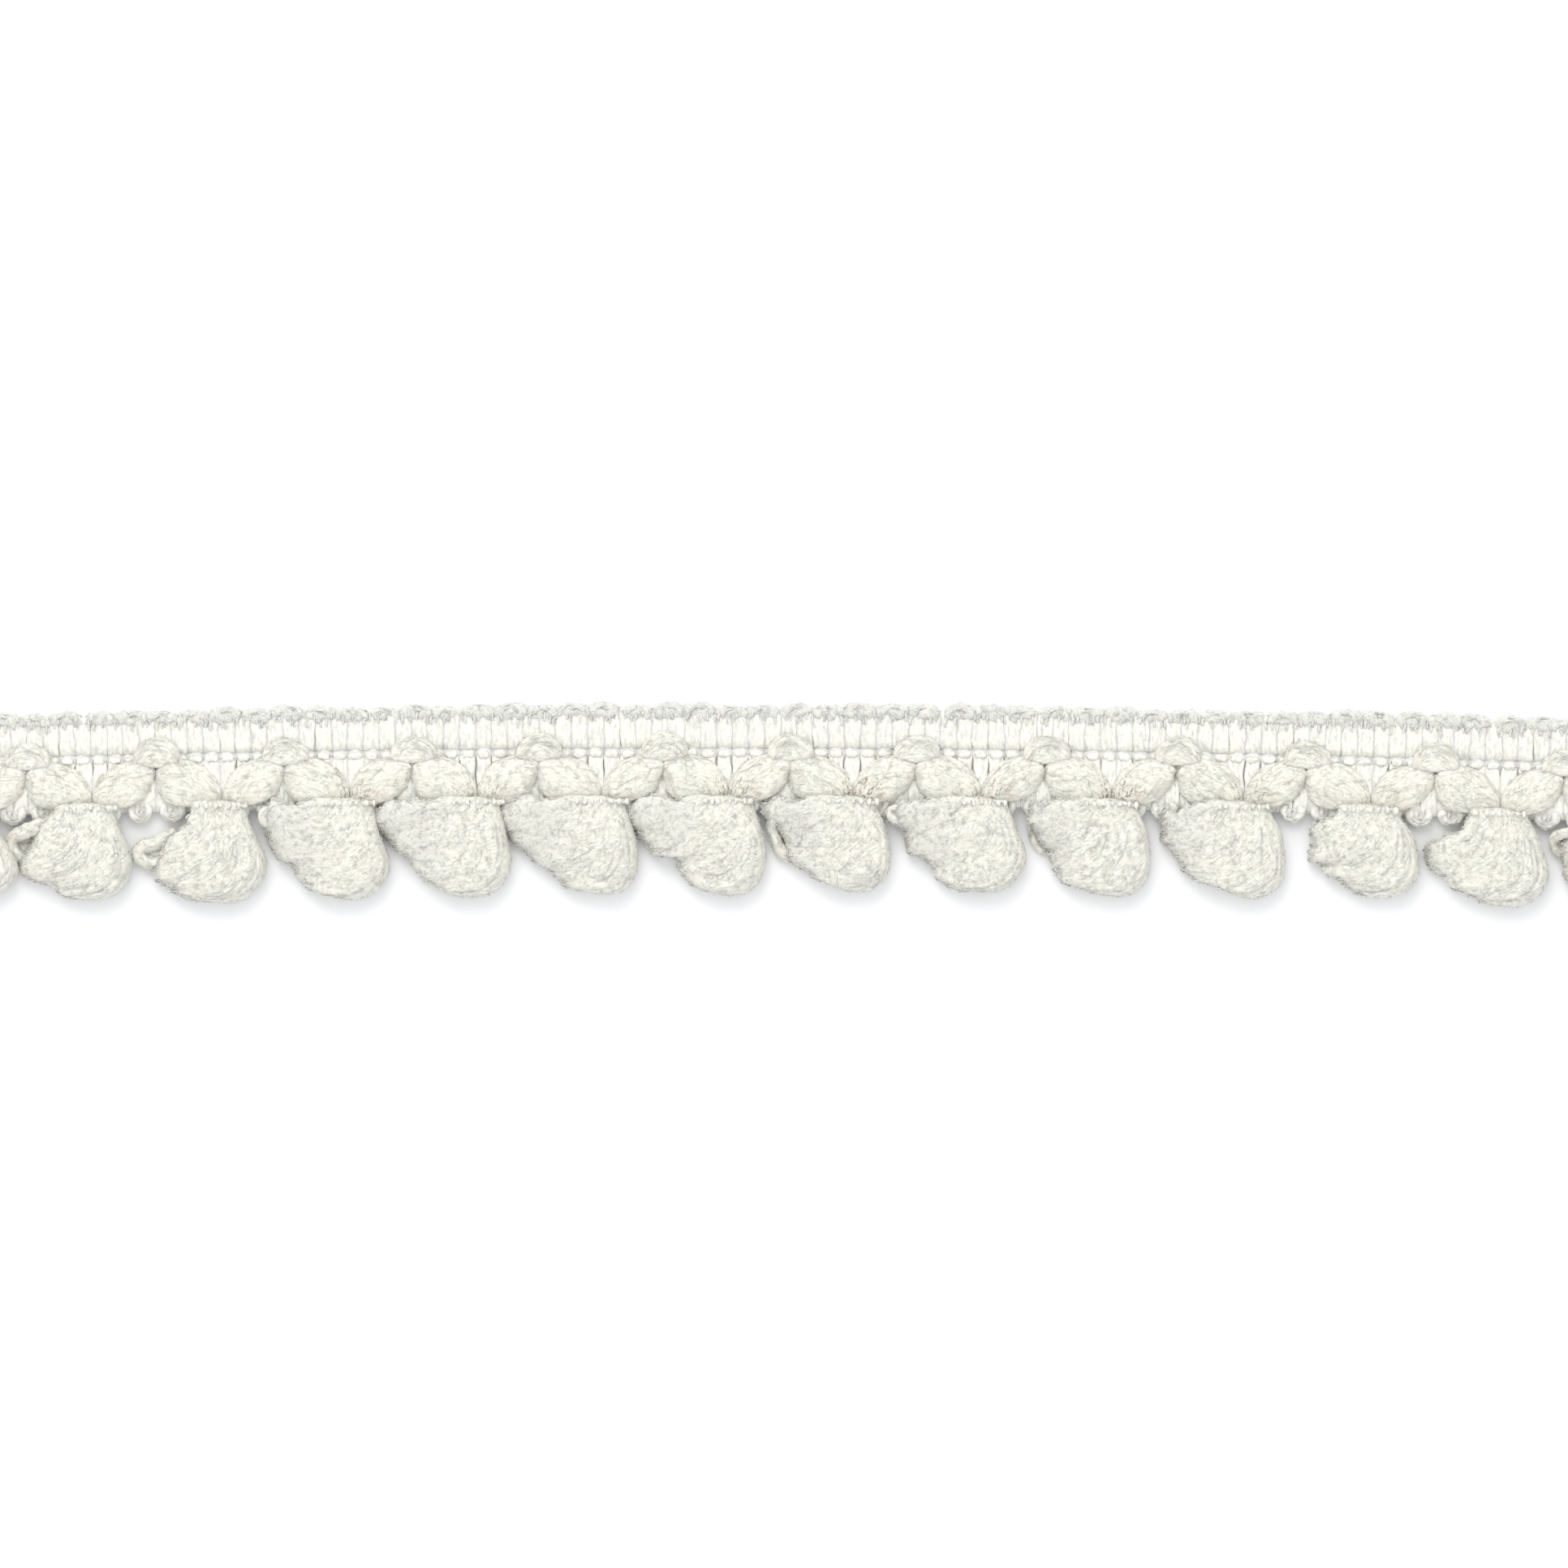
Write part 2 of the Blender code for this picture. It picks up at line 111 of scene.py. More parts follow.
def fibre_group():
    """A shader group for spun and brushed fibre: its colour, and its height for a bump. The mark is up
    to 1 where a neck has beige patches and dark flecks, and down to -1 where a wing is greyed as painted
    shade."""
    tree = bpy.data.node_groups.new("fibre", "ShaderNodeTree")
    tree_inputs(tree, (
        ("Vector", "Vector", (0, 0, 0)),
        ("Streak size", "Float", 0.2),
        ("Streak stretch", "Float", 4.0),
        ("Mat size", "Float", 0.4),
        ("Patch size", "Float", 2.0),
        ("Light colour", "Color", (1, 1, 1, 1)),
        ("Dull colour", "Color", (1, 1, 1, 1)),
        ("Warm colour", "Color", (1, 1, 1, 1)),
        ("Tone", "Float", 0.5),
        ("Wear", "Float", 0.0),
    ))
    tree.interface.new_socket("Colour", in_out="OUTPUT", socket_type="NodeSocketColor")
    tree.interface.new_socket("Height", in_out="OUTPUT", socket_type="NodeSocketFloat")
    given = tree.nodes.new("NodeGroupInput").outputs
    result = tree.nodes.new("NodeGroupOutput").inputs
    vector, wear = given["Vector"], given["Wear"]

    def maths(operation, a, b=None, c=None):
        return put(tree, "ShaderNodeMath", a, b, c, operation=operation)

    def speckle(where, scale, detail, roughness, warp=None):
        return put(tree, "ShaderNodeTexNoise", where, scale, detail, roughness, None, warp)[0]

    def ramp(value, start, end, low, high):
        return put(tree, "ShaderNodeMapRange", value, start, end, low, high)

    def mixed(share, one, two):
        made = tree.nodes.new("ShaderNodeMix")
        made.data_type = "RGBA"
        feed(tree, [made.inputs[k] for k in (0, 6, 7)], (share, one, two))
        return made.outputs[2]

    fine = maths("DIVIDE", 1.0, given["Streak size"])
    slow = maths("DIVIDE", fine, given["Streak stretch"])
    scale = put(tree, "ShaderNodeCombineXYZ", fine, slow, fine)
    streaked = put(tree, "ShaderNodeVectorMath", vector, scale, operation="MULTIPLY")
    streak = speckle(streaked, 1.0, 3.0, 0.6)
    curl = speckle(vector, fine, 2.0, 0.6)
    patch = speckle(vector, maths("DIVIDE", 1.0, given["Patch size"]), 2.0, 0.5)

    # Matted hairs are the thin crooked lines where a warped noise crosses its middle
    mat = maths("DIVIDE", 1.0, given["Mat size"])
    hairs = None
    for place in ((0.0, 0.0, 0.0), (17.3, 5.1, 9.7)):
        shifted = put(tree, "ShaderNodeVectorMath", vector, place, operation="ADD")
        off = maths("ABSOLUTE", maths("SUBTRACT", speckle(shifted, mat, 1.5, 0.6, 1.4), 0.5))
        line = ramp(off, 0.0, HAIR_HALF_WIDTH, 1.0, 0.0)
        hairs = line if hairs is None else maths("MAXIMUM", hairs, line)

    # Most of the pattern is drawn out along the yarn, and a little is crimped
    both = maths("MULTIPLY_ADD", streak, 1.5, maths("MULTIPLY", curl, 0.5))
    bright = maths("MULTIPLY_ADD", given["Tone"], 0.5, ramp(both, 0.78, 1.22, -0.30, 0.80))
    bright = maths("MULTIPLY_ADD", hairs, 0.22, bright)
    bright.node.use_clamp = True
    plain = mixed(bright, given["Dull colour"], given["Light colour"])
    tinted = mixed(ramp(patch, 0.48, 0.75, 0.0, 1.0), plain, given["Warm colour"])
    # Painted shade: a mark below 0 greys the full wings
    tinted = mixed(ramp(wear, -1.0, 0.0, 0.30, 0.0), tinted, WING_SHADE_GREY)
    # By the necks the colour turns to beige patches and a few dark crooked flecks
    near_neck_mark = maths("MAXIMUM", wear, 0.0)
    beige = mixed(maths("MULTIPLY", ramp(patch, 0.46, 0.62, 0.0, 0.45), near_neck_mark), tinted, NECK_BEIGE)
    spot = ramp(speckle(vector, 0.9, 1.0, 0.5), 0.44, 0.52, 0.0, 1.0)
    speck = ramp(speckle(vector, 2.6, 3.0, 0.6), 0.51, 0.56, 0.0, 1.0)
    fleck = maths("MULTIPLY", maths("MULTIPLY", speck, spot), near_neck_mark)
    tree.links.new(mixed(fleck, beige, FLECK_BROWN), result["Colour"])
    tree.links.new(maths("MULTIPLY_ADD", hairs, 0.15, both), result["Height"])
    return tree


FIBRE = fibre_group()


def yarn_finish(name, light, dull, warm, streak, stretch, mat, patch, rise, gloss, sheen, grain=None):
    """A yarn's material. Its pattern follows the attribute named by grain, in mm, or the object."""
    material = bpy.data.materials.new(name)
    material.use_nodes = True
    tree = material.node_tree
    shader = tree.nodes["Principled BSDF"].inputs
    if grain:
        vector = put(tree, "ShaderNodeAttribute", attribute_name=grain)[1]
    else:
        where = put(tree, "ShaderNodeTexCoord")[3]
        vector = put(tree, "ShaderNodeVectorMath", where, (1 / MM,) * 3, operation="MULTIPLY")
    tone = put(tree, "ShaderNodeAttribute", attribute_name="tone")[2]
    # The mark is above 0 by the necks, and below 0 where shade is painted on the wings
    wear = put(tree, "ShaderNodeAttribute", attribute_name="wear")[2]
    colour, height = put(
        tree, "ShaderNodeGroup", vector, streak, stretch, mat, patch, (*light, 1), (*dull, 1),
        (*warm, 1), tone, wear, node_tree=FIBRE,
    )
    bump = tree.nodes.new("ShaderNodeBump")
    bump.inputs["Strength"].default_value = 1.0
    bump.inputs["Distance"].default_value = rise * MM
    tree.links.new(height, bump.inputs["Height"])
    tree.links.new(bump.outputs["Normal"], shader["Normal"])
    tree.links.new(colour, shader["Base Color"])
    for slot, value in (
        ("Roughness", gloss),
        ("Specular IOR Level", 0.4),
        ("Sheen Weight", sheen),
        ("Sheen Roughness", 0.5),
        ("Subsurface Weight", 0.4),
        ("Subsurface Radius", (1.0, 1.0, 0.9)),
        ("Subsurface Scale", 0.8 * MM),
    ):
        shader[slot].default_value = value
    return material


def placed(name, data):
    """A new object in the scene that holds a mesh, a lamp or a camera."""
    made = bpy.data.objects.new(name, data)
    bpy.context.collection.objects.link(made)
    return made


ground_finish = yarn_finish(
    "knitted ground", (0.95, 0.95, 0.91), (0.82, 0.83, 0.80), (0.90, 0.88, 0.82),
    0.20, 2.0, 0.35, 3.0, 0.06, 0.8, 0.15,
)


def knitted_ground():
    """The band as a closed shell: wales on its face, and rows of small purls on its back."""
    columns = COURSES * STEPS_PER_COURSE + 1
    rows = GROUND_STEPS
    along = np.linspace(-LENGTH / 2, LENGTH / 2, columns)
    down = np.linspace(GROUND_TOP, GROUND_FOOT, rows)
    wale = np.abs(np.sin(np.pi * np.arange(columns) / STEPS_PER_COURSE)) ** 0.7
    table = np.array(GROUND_ROWS)
    rib = np.interp(down, table[:, 0], table[:, 1])
    gap = np.interp(down, table[:, 0], table[:, 2])
    x, v = np.meshgrid(along, down, indexing="ij")
    stitch = np.sin(v * 2 * np.pi / STITCH_DROP)
    top = gap + (rib - gap) * wale[:, None] + KNIT_RELIEF * stitch * wale[:, None]
    purl = (1 - wale[:, None]) * 0.5 + 0.5 * stitch**2
    face = on_trim(x, v, top).reshape(-1, 3)
    back = on_trim(x, v, BACK_RELIEF * purl).reshape(-1, 3)
    count = columns * rows
    at = np.arange(count).reshape(columns, rows)
    faces = []
    for i in range(columns - 1):
        for j in range(rows - 1):
            a, b, c, d = at[i, j], at[i, j + 1], at[i + 1, j + 1], at[i + 1, j]
            faces.append((a, b, c, d))
            faces.append((d + count, c + count, b + count, a + count))
        for j, turned in ((0, False), (rows - 1, True)):
            a, b = at[i, j], at[i + 1, j]
            wall = (a, b, b + count, a + count)
            faces.append(wall[::-1] if turned else wall)
    for j in range(rows - 1):
        for i, turned in ((0, True), (columns - 1, False)):
            a, b = at[i, j], at[i, j + 1]
            wall = (a, b, b + count, a + count)
            faces.append(wall[::-1] if turned else wall)
    mesh = bpy.data.meshes.new("heading_ground")
    mesh.from_pydata(np.vstack([face, back]).tolist(), [], faces)
    mesh.materials.append(ground_finish)
    mesh.shade_smooth()
    return placed("heading_ground", mesh)


heading_ground = knitted_ground()
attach(heading_ground, "root")
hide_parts("heading")

# The floats. These are the upright satin threads on the heading's face: a long upper band, and a lower
# band under a row of small chain stitches. Each course is three flat, bright cotton threads side by side.
THREADS_ACROSS = (0, 0.05, 0.10, 0.17, 0.25, 1 / 3, 0.41, 0.5, 0.59, 2 / 3, 0.75, 0.83, 0.90, 0.95, 1)
# The gap between two closed courses, which overlap, and the height of the floats' backs
CLOSED = -0.34
FLOAT_BACK = 0.45
# How far a course leans and wanders to each side, and stands up or down, and its threads' relief
COURSE_LEAN = 0.12
COURSE_WANDER = 0.24
COURSE_LEVEL = 0.03
THREAD_RELIEF = (0.05, 0.11)
# No fibre comes nearer than this to what the trim lies on, in metres
LOWEST = 0.00003


def grown(name, mesh, tree, **sizes):
    """The plain mesh object that a Geometry Nodes tree makes of a mesh."""
    source = placed(name, mesh)
    modifier = source.modifiers.new("grow", "NODES")
    modifier.node_group = tree
    for item in tree.interface.items_tree:
        size = item.name.replace(" ", "_").lower()
        if item.in_out == "INPUT" and size in sizes:
            modifier[item.identifier] = sizes[size]
    ready = source.evaluated_get(bpy.context.evaluated_depsgraph_get())
    plain = bpy.data.meshes.new_from_object(ready)
    bpy.data.objects.remove(source)
    plain.name = name
    return placed(name, plain)


def lump(x, y, size, seed):
    """Smooth noise from about -1 to 1, with lumps of that size."""
    return noise.noise(Vector((x / size + 31.7 * seed, y / size - 12.9 * seed, 7.3 * seed)))


def smooth_through(rows, count):
    """Rows of values carried smoothly through their sections, at count even steps."""
    rows = np.asarray(rows, float)
    last = len(rows) - 1
    at = np.linspace(0, last, count)
    k = np.clip(at.astype(int), 0, last - 1)
    s = (at - k)[:, None]
    p0, p1 = rows[np.maximum(k - 1, 0)], rows[k]
    p2, p3 = rows[k + 1], rows[np.minimum(k + 2, last)]
    return 0.5 * (
        2 * p1 + (p2 - p0) * s + (2 * p0 - 5 * p1 + 4 * p2 - p3) * s**2
        + (3 * p1 - p0 - 3 * p2 + p3) * s**3
    )


def brushed_tree():
    """Geometry Nodes that finish a brushed mass: its body, its loose strands and its short pile."""
    tree = bpy.data.node_groups.new("brushed mass", "GeometryNodeTree")
    tree_inputs(tree, (
        ("Geometry", "Geometry"),
        ("Fibre thickness", "Float"),
        ("Points per fibre", "Int"),
        ("Wander", "Float"),
        ("Wander size", "Float"),
        ("Pile per square metre", "Float"),
        ("Pile length", "Float"),
        ("Pile thickness", "Float"),
        ("Pile lift", "Float"),
        ("Seed", "Int"),
        ("Finish", "Material"),
    ))
    tree.interface.new_socket("Geometry", in_out="OUTPUT", socket_type="NodeSocketGeometry")
    given = tree.nodes.new("NodeGroupInput").outputs
    result = tree.nodes.new("NodeGroupOutput").inputs
    seed = given["Seed"]

    def maths(operation, a, b=None, c=None):
        return put(tree, "ShaderNodeMath", a, b, c, operation=operation)

    def held(name, kind="FLOAT"):
        return put(tree, "GeometryNodeInputNamedAttribute", name, data_type=kind)[0]

    def chance(low, high, kind="FLOAT"):
        return put(tree, "FunctionNodeRandomValue", low, high, None, seed, data_type=kind)

    is_strand = put(tree, "FunctionNodeCompare", held("is_fibre"), 0.5, operation="GREATER_THAN")
    lines, body = put(tree, "GeometryNodeSeparateGeometry", given["Geometry"], is_strand)
    profile = put(tree, "GeometryNodeCurvePrimitiveCircle", 3, 1.0)

    # The strands: thin threads along the bare paths, each wandering a little in its own way
    strands = put(tree, "GeometryNodeMeshToCurve", lines)
    strands = put(tree, "GeometryNodeCurveSplineType", strands, spline_type="CATMULL_ROM")
    strands = put(tree, "GeometryNodeResampleCurve", strands, None, given["Points per fibre"])
    wobble = put(
        tree, "ShaderNodeTexNoise", put(tree, "GeometryNodeInputPosition"),
        maths("MULTIPLY_ADD", held("tone"), 37.0, seed), maths("DIVIDE", 1.0, given["Wander size"]),
        1.0, noise_dimensions="4D",
    )[1]
    drift = put(tree, "ShaderNodeVectorMath", wobble, (0.5, 0.5, 0.5), operation="SUBTRACT")
    drift = put(tree, "ShaderNodeVectorMath", drift, given["Wander"], operation="SCALE")
    strands = put(tree, "GeometryNodeSetPosition", strands, None, None, drift)
    girth = maths("MULTIPLY", given["Fibre thickness"], held("girth"))
    strands = put(tree, "GeometryNodeCurveToMesh", strands, profile, girth, True)

    # The pile: short curled hairs that start on the body and lie along its flow
    facing = put(tree, "ShaderNodeSeparateXYZ", put(tree, "GeometryNodeInputNormal")[0])[2]
    upper = put(tree, "FunctionNodeCompare", facing, -0.1, operation="GREATER_THAN")
    spots = put(
        tree, "GeometryNodeDistributePointsOnFaces", body, upper, given["Pile per square metre"],
        seed,
    )
    hair = put(tree, "GeometryNodeCurvePrimitiveLine", None, (1, 0, 0))
    hair = put(tree, "GeometryNodeResampleCurve", hair, None, 3)
    part = put(tree, "GeometryNodeSplineParameter")[0]
    raised = maths("DIVIDE", given["Pile lift"], given["Pile length"])
    arc = maths("MULTIPLY", maths("SINE", maths("MULTIPLY", part, 3.3)), raised)
    sway = maths("MULTIPLY", maths("SINE", maths("MULTIPLY", part, 3.1)), 0.28)
    bend = put(tree, "ShaderNodeCombineXYZ", 0.0, sway, arc)
    hair = put(tree, "GeometryNodeSetPosition", hair, None, None, bend)
    slim = maths("DIVIDE", given["Pile thickness"], given["Pile length"])
    taper = maths("MULTIPLY", put(tree, "ShaderNodeMapRange", part, 0.3, 1.0, 1.0, 0.5), slim)
    hair = put(tree, "GeometryNodeCurveToMesh", hair, profile, taper, True)
    laid = put(
        tree, "FunctionNodeAxesToRotation", held("flow", "FLOAT_VECTOR"), spots[1],
        primary_axis="X", secondary_axis="Z",
    )
    tilt = chance((-0.5, -0.15, -1.3), (0.5, 0.10, 1.3), "FLOAT_VECTOR")
    tilt = put(tree, "FunctionNodeEulerToRotation", tilt)
    turned = put(tree, "FunctionNodeRotateRotation", laid, tilt, rotation_space="LOCAL")
    reach = maths("MULTIPLY", chance(0.45, 1.3), given["Pile length"])
    pile = put(
        tree, "GeometryNodeInstanceOnPoints", spots[0], None, hair, None, None, turned, reach,
    )
    tone = put(tree, "FunctionNodeRandomValue", data_type="FLOAT")
    pile = put(
        tree, "GeometryNodeStoreNamedAttribute", pile, None, "tone", tone,
        data_type="FLOAT", domain="INSTANCE",
    )
    pile = put(tree, "GeometryNodeRealizeInstances", pile)
    joined = tree.nodes.new("GeometryNodeJoinGeometry")
    for made in (body, strands, pile):
        tree.links.new(made, joined.inputs[0])
    # Nothing sinks below the surface that the trim lies on
    at = put(tree, "ShaderNodeSeparateXYZ", put(tree, "GeometryNodeInputPosition"))
    above = put(tree, "ShaderNodeCombineXYZ", at[0], at[1], maths("MAXIMUM", at[2], LOWEST))
    whole = put(tree, "GeometryNodeSetPosition", joined.outputs[0], None, above)
    whole = put(tree, "GeometryNodeSetShadeSmooth", whole, None, True)
    whole = put(tree, "GeometryNodeRealizeInstances", whole)
    done = put(tree, "GeometryNodeSetMaterial", whole, None, given["Finish"])
    tree.links.new(done, result["Geometry"])
    return tree


BRUSHED_MASS = brushed_tree()


def skin_normals(rings):
    """Outward directions at every point of a skin, which is rings of places in mm."""
    ahead = np.gradient(rings, axis=0)
    wrapped = np.concatenate([rings[:, -1:], rings, rings[:, :1]], axis=1)
    round_it = (wrapped[:, 2:] - wrapped[:, :-2]) / 2
    out = np.cross(round_it, ahead)
    out /= np.linalg.norm(out, axis=2, keepdims=True) + 1e-9
    middle = rings.mean(axis=1, keepdims=True)
    if np.sum(out * (rings - middle)) < 0:
        out = -out
    return out


def run_of(steps):
    """How far along a line each of its points is, from the steps between them."""
    return np.concatenate([[0.0], np.cumsum(steps)])


def roughened(rings, reliefs, seed):
    """A skin drawn into soft ridges that run with its rings. A relief is its width, its length as
    a multiple of that, and its depth in mm."""
    out = skin_normals(rings)
    far = run_of(np.linalg.norm(np.diff(rings, axis=0), axis=2).mean(axis=1))
    moved = rings.copy()
    for i in range(rings.shape[0]):
        at = run_of(np.linalg.norm(np.diff(rings[i], axis=0), axis=1))
        for j in range(rings.shape[1]):
            push = sum(
                depth * lump(at[j], far[i] / drawn, width, seed + 3 * k)
                for k, (width, drawn, depth) in enumerate(reliefs)
            )
            moved[i, j] += out[i, j] * push
    moved[:, :, 2] = np.maximum(moved[:, :, 2], rings[:, :, 2].min(axis=1)[:, None])
    return moved


def brushed_mass(name, skins, fibres, **sizes):
    """The plain mesh object of closed skins with long fibres and short pile over them. A skin is
    its rings and its mark, above 0 by a neck and below 0 for painted wing shade, a fibre its places,
    girth, tone and mark."""
    places, faces, flows, grains, marks = [], [], [], [], []
    for rings, mark in skins:
        count, points = rings.shape[:2]
        first = len(places)
        world = on_trim(rings[:, :, 0], rings[:, :, 1], rings[:, :, 2])
        ahead = np.gradient(world, axis=0)
        ahead /= np.linalg.norm(ahead, axis=2, keepdims=True) + 1e-12
        far = run_of(np.linalg.norm(np.diff(rings, axis=0), axis=2).mean(axis=1))
        closing = np.linalg.norm(np.diff(rings, axis=1), axis=2)
        at = np.concatenate([np.zeros((count, 1)), np.cumsum(closing, axis=1)], axis=1)
        lengths = np.broadcast_to(far[:, None], at.shape)
        grain = np.stack([at, lengths, np.full_like(at, first % 97)], -1)
        made = []
        for i in range(count - 1):
            for j in range(points):
                k = (j + 1) % points
                a, b = first + i * points + j, first + i * points + k
                made.append((a, b, b + points, a + points))
        made.append(tuple(first + j for j in range(points))[::-1])
        made.append(tuple(first + (count - 1) * points + j for j in range(points)))
        flat = world.reshape(-1, 3)
        volume = 0.0
        for face in made:
            corner = flat[face[0] - first]
            for b, c in zip(face[1:], face[2:]):
                volume += np.dot(corner, np.cross(flat[b - first], flat[c - first]))
        faces.extend(made if volume > 0 else [face[::-1] for face in made])
        places.extend(flat.tolist())
        flows.extend(ahead.reshape(-1, 3).tolist())
        grains.extend(grain.reshape(-1, 3).tolist())
        marks.extend(np.broadcast_to(mark, (count, points)).reshape(-1).tolist())
    body = len(places)
    edges, girths, tones = [], [1.0] * body, [0.5] * body
    for points, girth, tone, mark in fibres:
        first = len(places)
        world = on_trim(points[:, 0], points[:, 1], points[:, 2])
        places.extend(world.tolist())
        edges.extend((first + k, first + k + 1) for k in range(len(points) - 1))
        girths.extend(np.broadcast_to(girth, len(points)).tolist())
        tones.extend([tone] * len(points))
        marks.extend(np.broadcast_to(mark, len(points)).tolist())
        flows.extend([(1.0, 0.0, 0.0)] * len(points))
        run = run_of(np.linalg.norm(np.diff(points, axis=0), axis=1))
        grains.extend((tone * 50, far, 0.0) for far in run)
    mesh = bpy.data.meshes.new(name)
    mesh.from_pydata(places, edges, faces)
    kinds = [0.0] * body + [1.0] * (len(places) - body)
    for attribute, values in (
        ("girth", girths), ("tone", tones), ("wear", marks), ("is_fibre", kinds),
    ):
        mesh.attributes.new(attribute, "FLOAT", "POINT").data.foreach_set("value", values)
    for attribute, values in (("flow", flows), ("grain", grains)):
        made = mesh.attributes.new(attribute, "FLOAT_VECTOR", "POINT")
        made.data.foreach_set("vector", np.asarray(values, float).ravel())
    return grown(name, mesh, BRUSHED_MASS, **sizes)


def cord_skin(path, wide, high, steps, sides, seed, uneven=0.12, taper=0.35):
    """A soft cord along places in mm, as rings round it. It is uneven in girth and slimmer at its
    ends."""
    line = smooth_through(path, steps)
    run = np.gradient(line, axis=0)
    side = np.column_stack([run[:, 1], -run[:, 0], 0 * run[:, 0]])
    side /= np.linalg.norm(side, axis=1, keepdims=True) + 1e-9
    turn = np.linspace(0, 2 * np.pi, sides, endpoint=False)
    swell = np.array([1 + uneven * lump(k * 0.35, 0.0, 1.0, seed) for k in range(steps)])
    swell *= 1 - taper * np.abs(np.linspace(-1, 1, steps)) ** 4
    rings = line[:, None] + side[:, None] * (np.cos(turn)[None] * wide * swell[:, None])[..., None]
    rings[:, :, 2] += np.sin(turn)[None] * high * swell[:, None]
    return rings


def course_skins(rows, steps, open_share, opening, opens_at, seed):
    """The upright courses of one band, each a flat run of three soft threads. A share of them part
    from the next by a crooked slit. rows gives how far down and how high a course is, opening how
    wide a slit is, and opens_at how far down its run it is widest."""
    chance = random.Random(seed)
    line = smooth_through(rows, steps)
    part = np.linspace(0, 1, steps)
    across = np.array(THREADS_ACROSS)
    to_edge = np.minimum(across, 1 - across)
    fall = np.interp(to_edge, (0.0, 0.05, 0.10), (-0.22, -0.03, 0.0))
    ridge = np.abs(np.sin(3 * np.pi * across)) ** 0.7 - 0.7
    borders, slits = [], []
    for border in range(COURSES + 1):
        lean = chance.uniform(-COURSE_LEAN, COURSE_LEAN)
        wander = [COURSE_WANDER * lump(v, border * 5.0, 1.5, seed) for v in line[:, 0]]
        wander = np.array(wander) + lean * (part - 0.5)
        borders.append(-LENGTH / 2 + border * COURSE + wander * (0 < border < COURSES))
        wide = chance.uniform(*opening) if chance.random() < open_share else CLOSED
        open_at = chance.uniform(*opens_at)
        reach = chance.uniform(0.15, 0.6)
        slits.append(CLOSED + (wide - CLOSED) * np.exp(-(((part - open_at) / reach) ** 2)))
    slits[0] = slits[-1] = np.zeros(steps)
    skins = []
    for course in range(COURSES):
        left = borders[course] + slits[course] / 2
        right = borders[course + 1] - slits[course + 1] / 2
        level = chance.uniform(-COURSE_LEVEL, COURSE_LEVEL)
        thread = chance.uniform(*THREAD_RELIEF) * ridge
        face = np.empty((steps, len(across), 3))
        face[:, :, 0] = left[:, None] * (1 - across) + right[:, None] * across
        face[:, :, 1] = line[:, 0:1]
        face[:, :, 2] = line[:, 1:2] + level + fall + thread
        # The threads are lumpy, a little along their width and more slowly down their length
        for i in range(steps):
            for j in range(1, len(across) - 1):
                x, v = face[i, j, 0], face[i, j, 1]
                face[i, j, 2] += 0.17 * lump(x, v / 3.0, 0.36, seed)
                face[i, j, 2] += 0.10 * lump(x, v / 1.6, 0.9, seed + 1)
        back = face[:, [-1, len(across) // 2, 0]].copy()
        back[:, :, 2] = np.minimum(FLOAT_BACK, line[:, 1:2] - 0.5)
        skins.append((np.concatenate([face, back], axis=1), 0.0))
    return skins


float_finish = yarn_finish(
    "satin cotton", (0.88, 0.875, 0.80), (0.64, 0.635, 0.575), (0.83, 0.80, 0.715),
    0.34, 3.6, 0.30, 2.4, 0.09, 0.42, 0.25, "grain",
)
FUZZ = dict(
    fibre_thickness=0.055 * MM, points_per_fibre=5, wander=0.2 * MM, wander_size=0.5 * MM,
    pile_length=0.45 * MM, pile_thickness=0.035 * MM, pile_lift=0.07 * MM,
)


def heading_yarn(name, skins, strands, pile, seed, finish):
    """A piece of the heading's own yarn, with its pile per square metre. It moves with the band."""
    made = brushed_mass(
        name, skins, strands, pile_per_square_metre=pile, seed=seed, finish=finish, **FUZZ,
    )
    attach(made, "root")


# How far down from the top edge and how high a course is, in millimetres
UPPER_ROWS = (
    (0.9, 1.05), (1.5, 1.45), (2.6, 1.60), (3.9, 1.60), (4.9, 1.48), (5.4, 1.26), (5.8, 0.95),
)
LOWER_ROWS = ((6.6, 1.15), (7.4, 1.46), (8.9, 1.62), (10.6, 1.78), (12.2, 1.74), (13.1, 1.3))
for band, rows, steps, open_share, opening, opens_at, seed in (
    ("heading_upper_floats", UPPER_ROWS, 17, 0.45, (-0.16, 0.16), (0.60, 1.05), 11),
    ("heading_lower_floats", LOWER_ROWS, 18, 0.9, (0.06, 0.30), (-0.1, 0.45), 12),
):
    courses = course_skins(rows, steps, open_share, opening, opens_at, seed)
    heading_yarn(band, courses, [], 0.35e6, seed, float_finish)

# The chain stitches. They are one row of small square stitches in the same cotton, which close off the
# recessed line between the two bands of floats.
STITCH_DOWN = 6.5
STITCH_HALF_WIDTH = 0.82
STITCH_HALF_DROP = 0.52
STITCH_LOW = 1.20
STITCH_RELIEFS = ((0.55, 1.0, 0.16), (0.30, 1.0, 0.12))


def cushion(middle, half, top, foot, low, thick, sides):
    """A plump mass as rings along the trim. top and foot are where its edges are down the trim at
    each ring, and thick is half its thickness there over the height low, all in mm."""
    top, foot, thick = np.broadcast_arrays(top, foot, thick)
    along = middle + half * np.linspace(-1, 1, len(top))
    turn = np.linspace(0, 2 * np.pi, sides, endpoint=False)
    rings = np.empty((len(top), sides, 3))
    rings[:, :, 0] = along[:, None]
    rings[:, :, 1] = ((top + foot) / 2)[:, None] - ((foot - top) / 2)[:, None] * np.cos(turn)
    rings[:, :, 2] = low + thick[:, None] * np.sin(turn)
    return rings


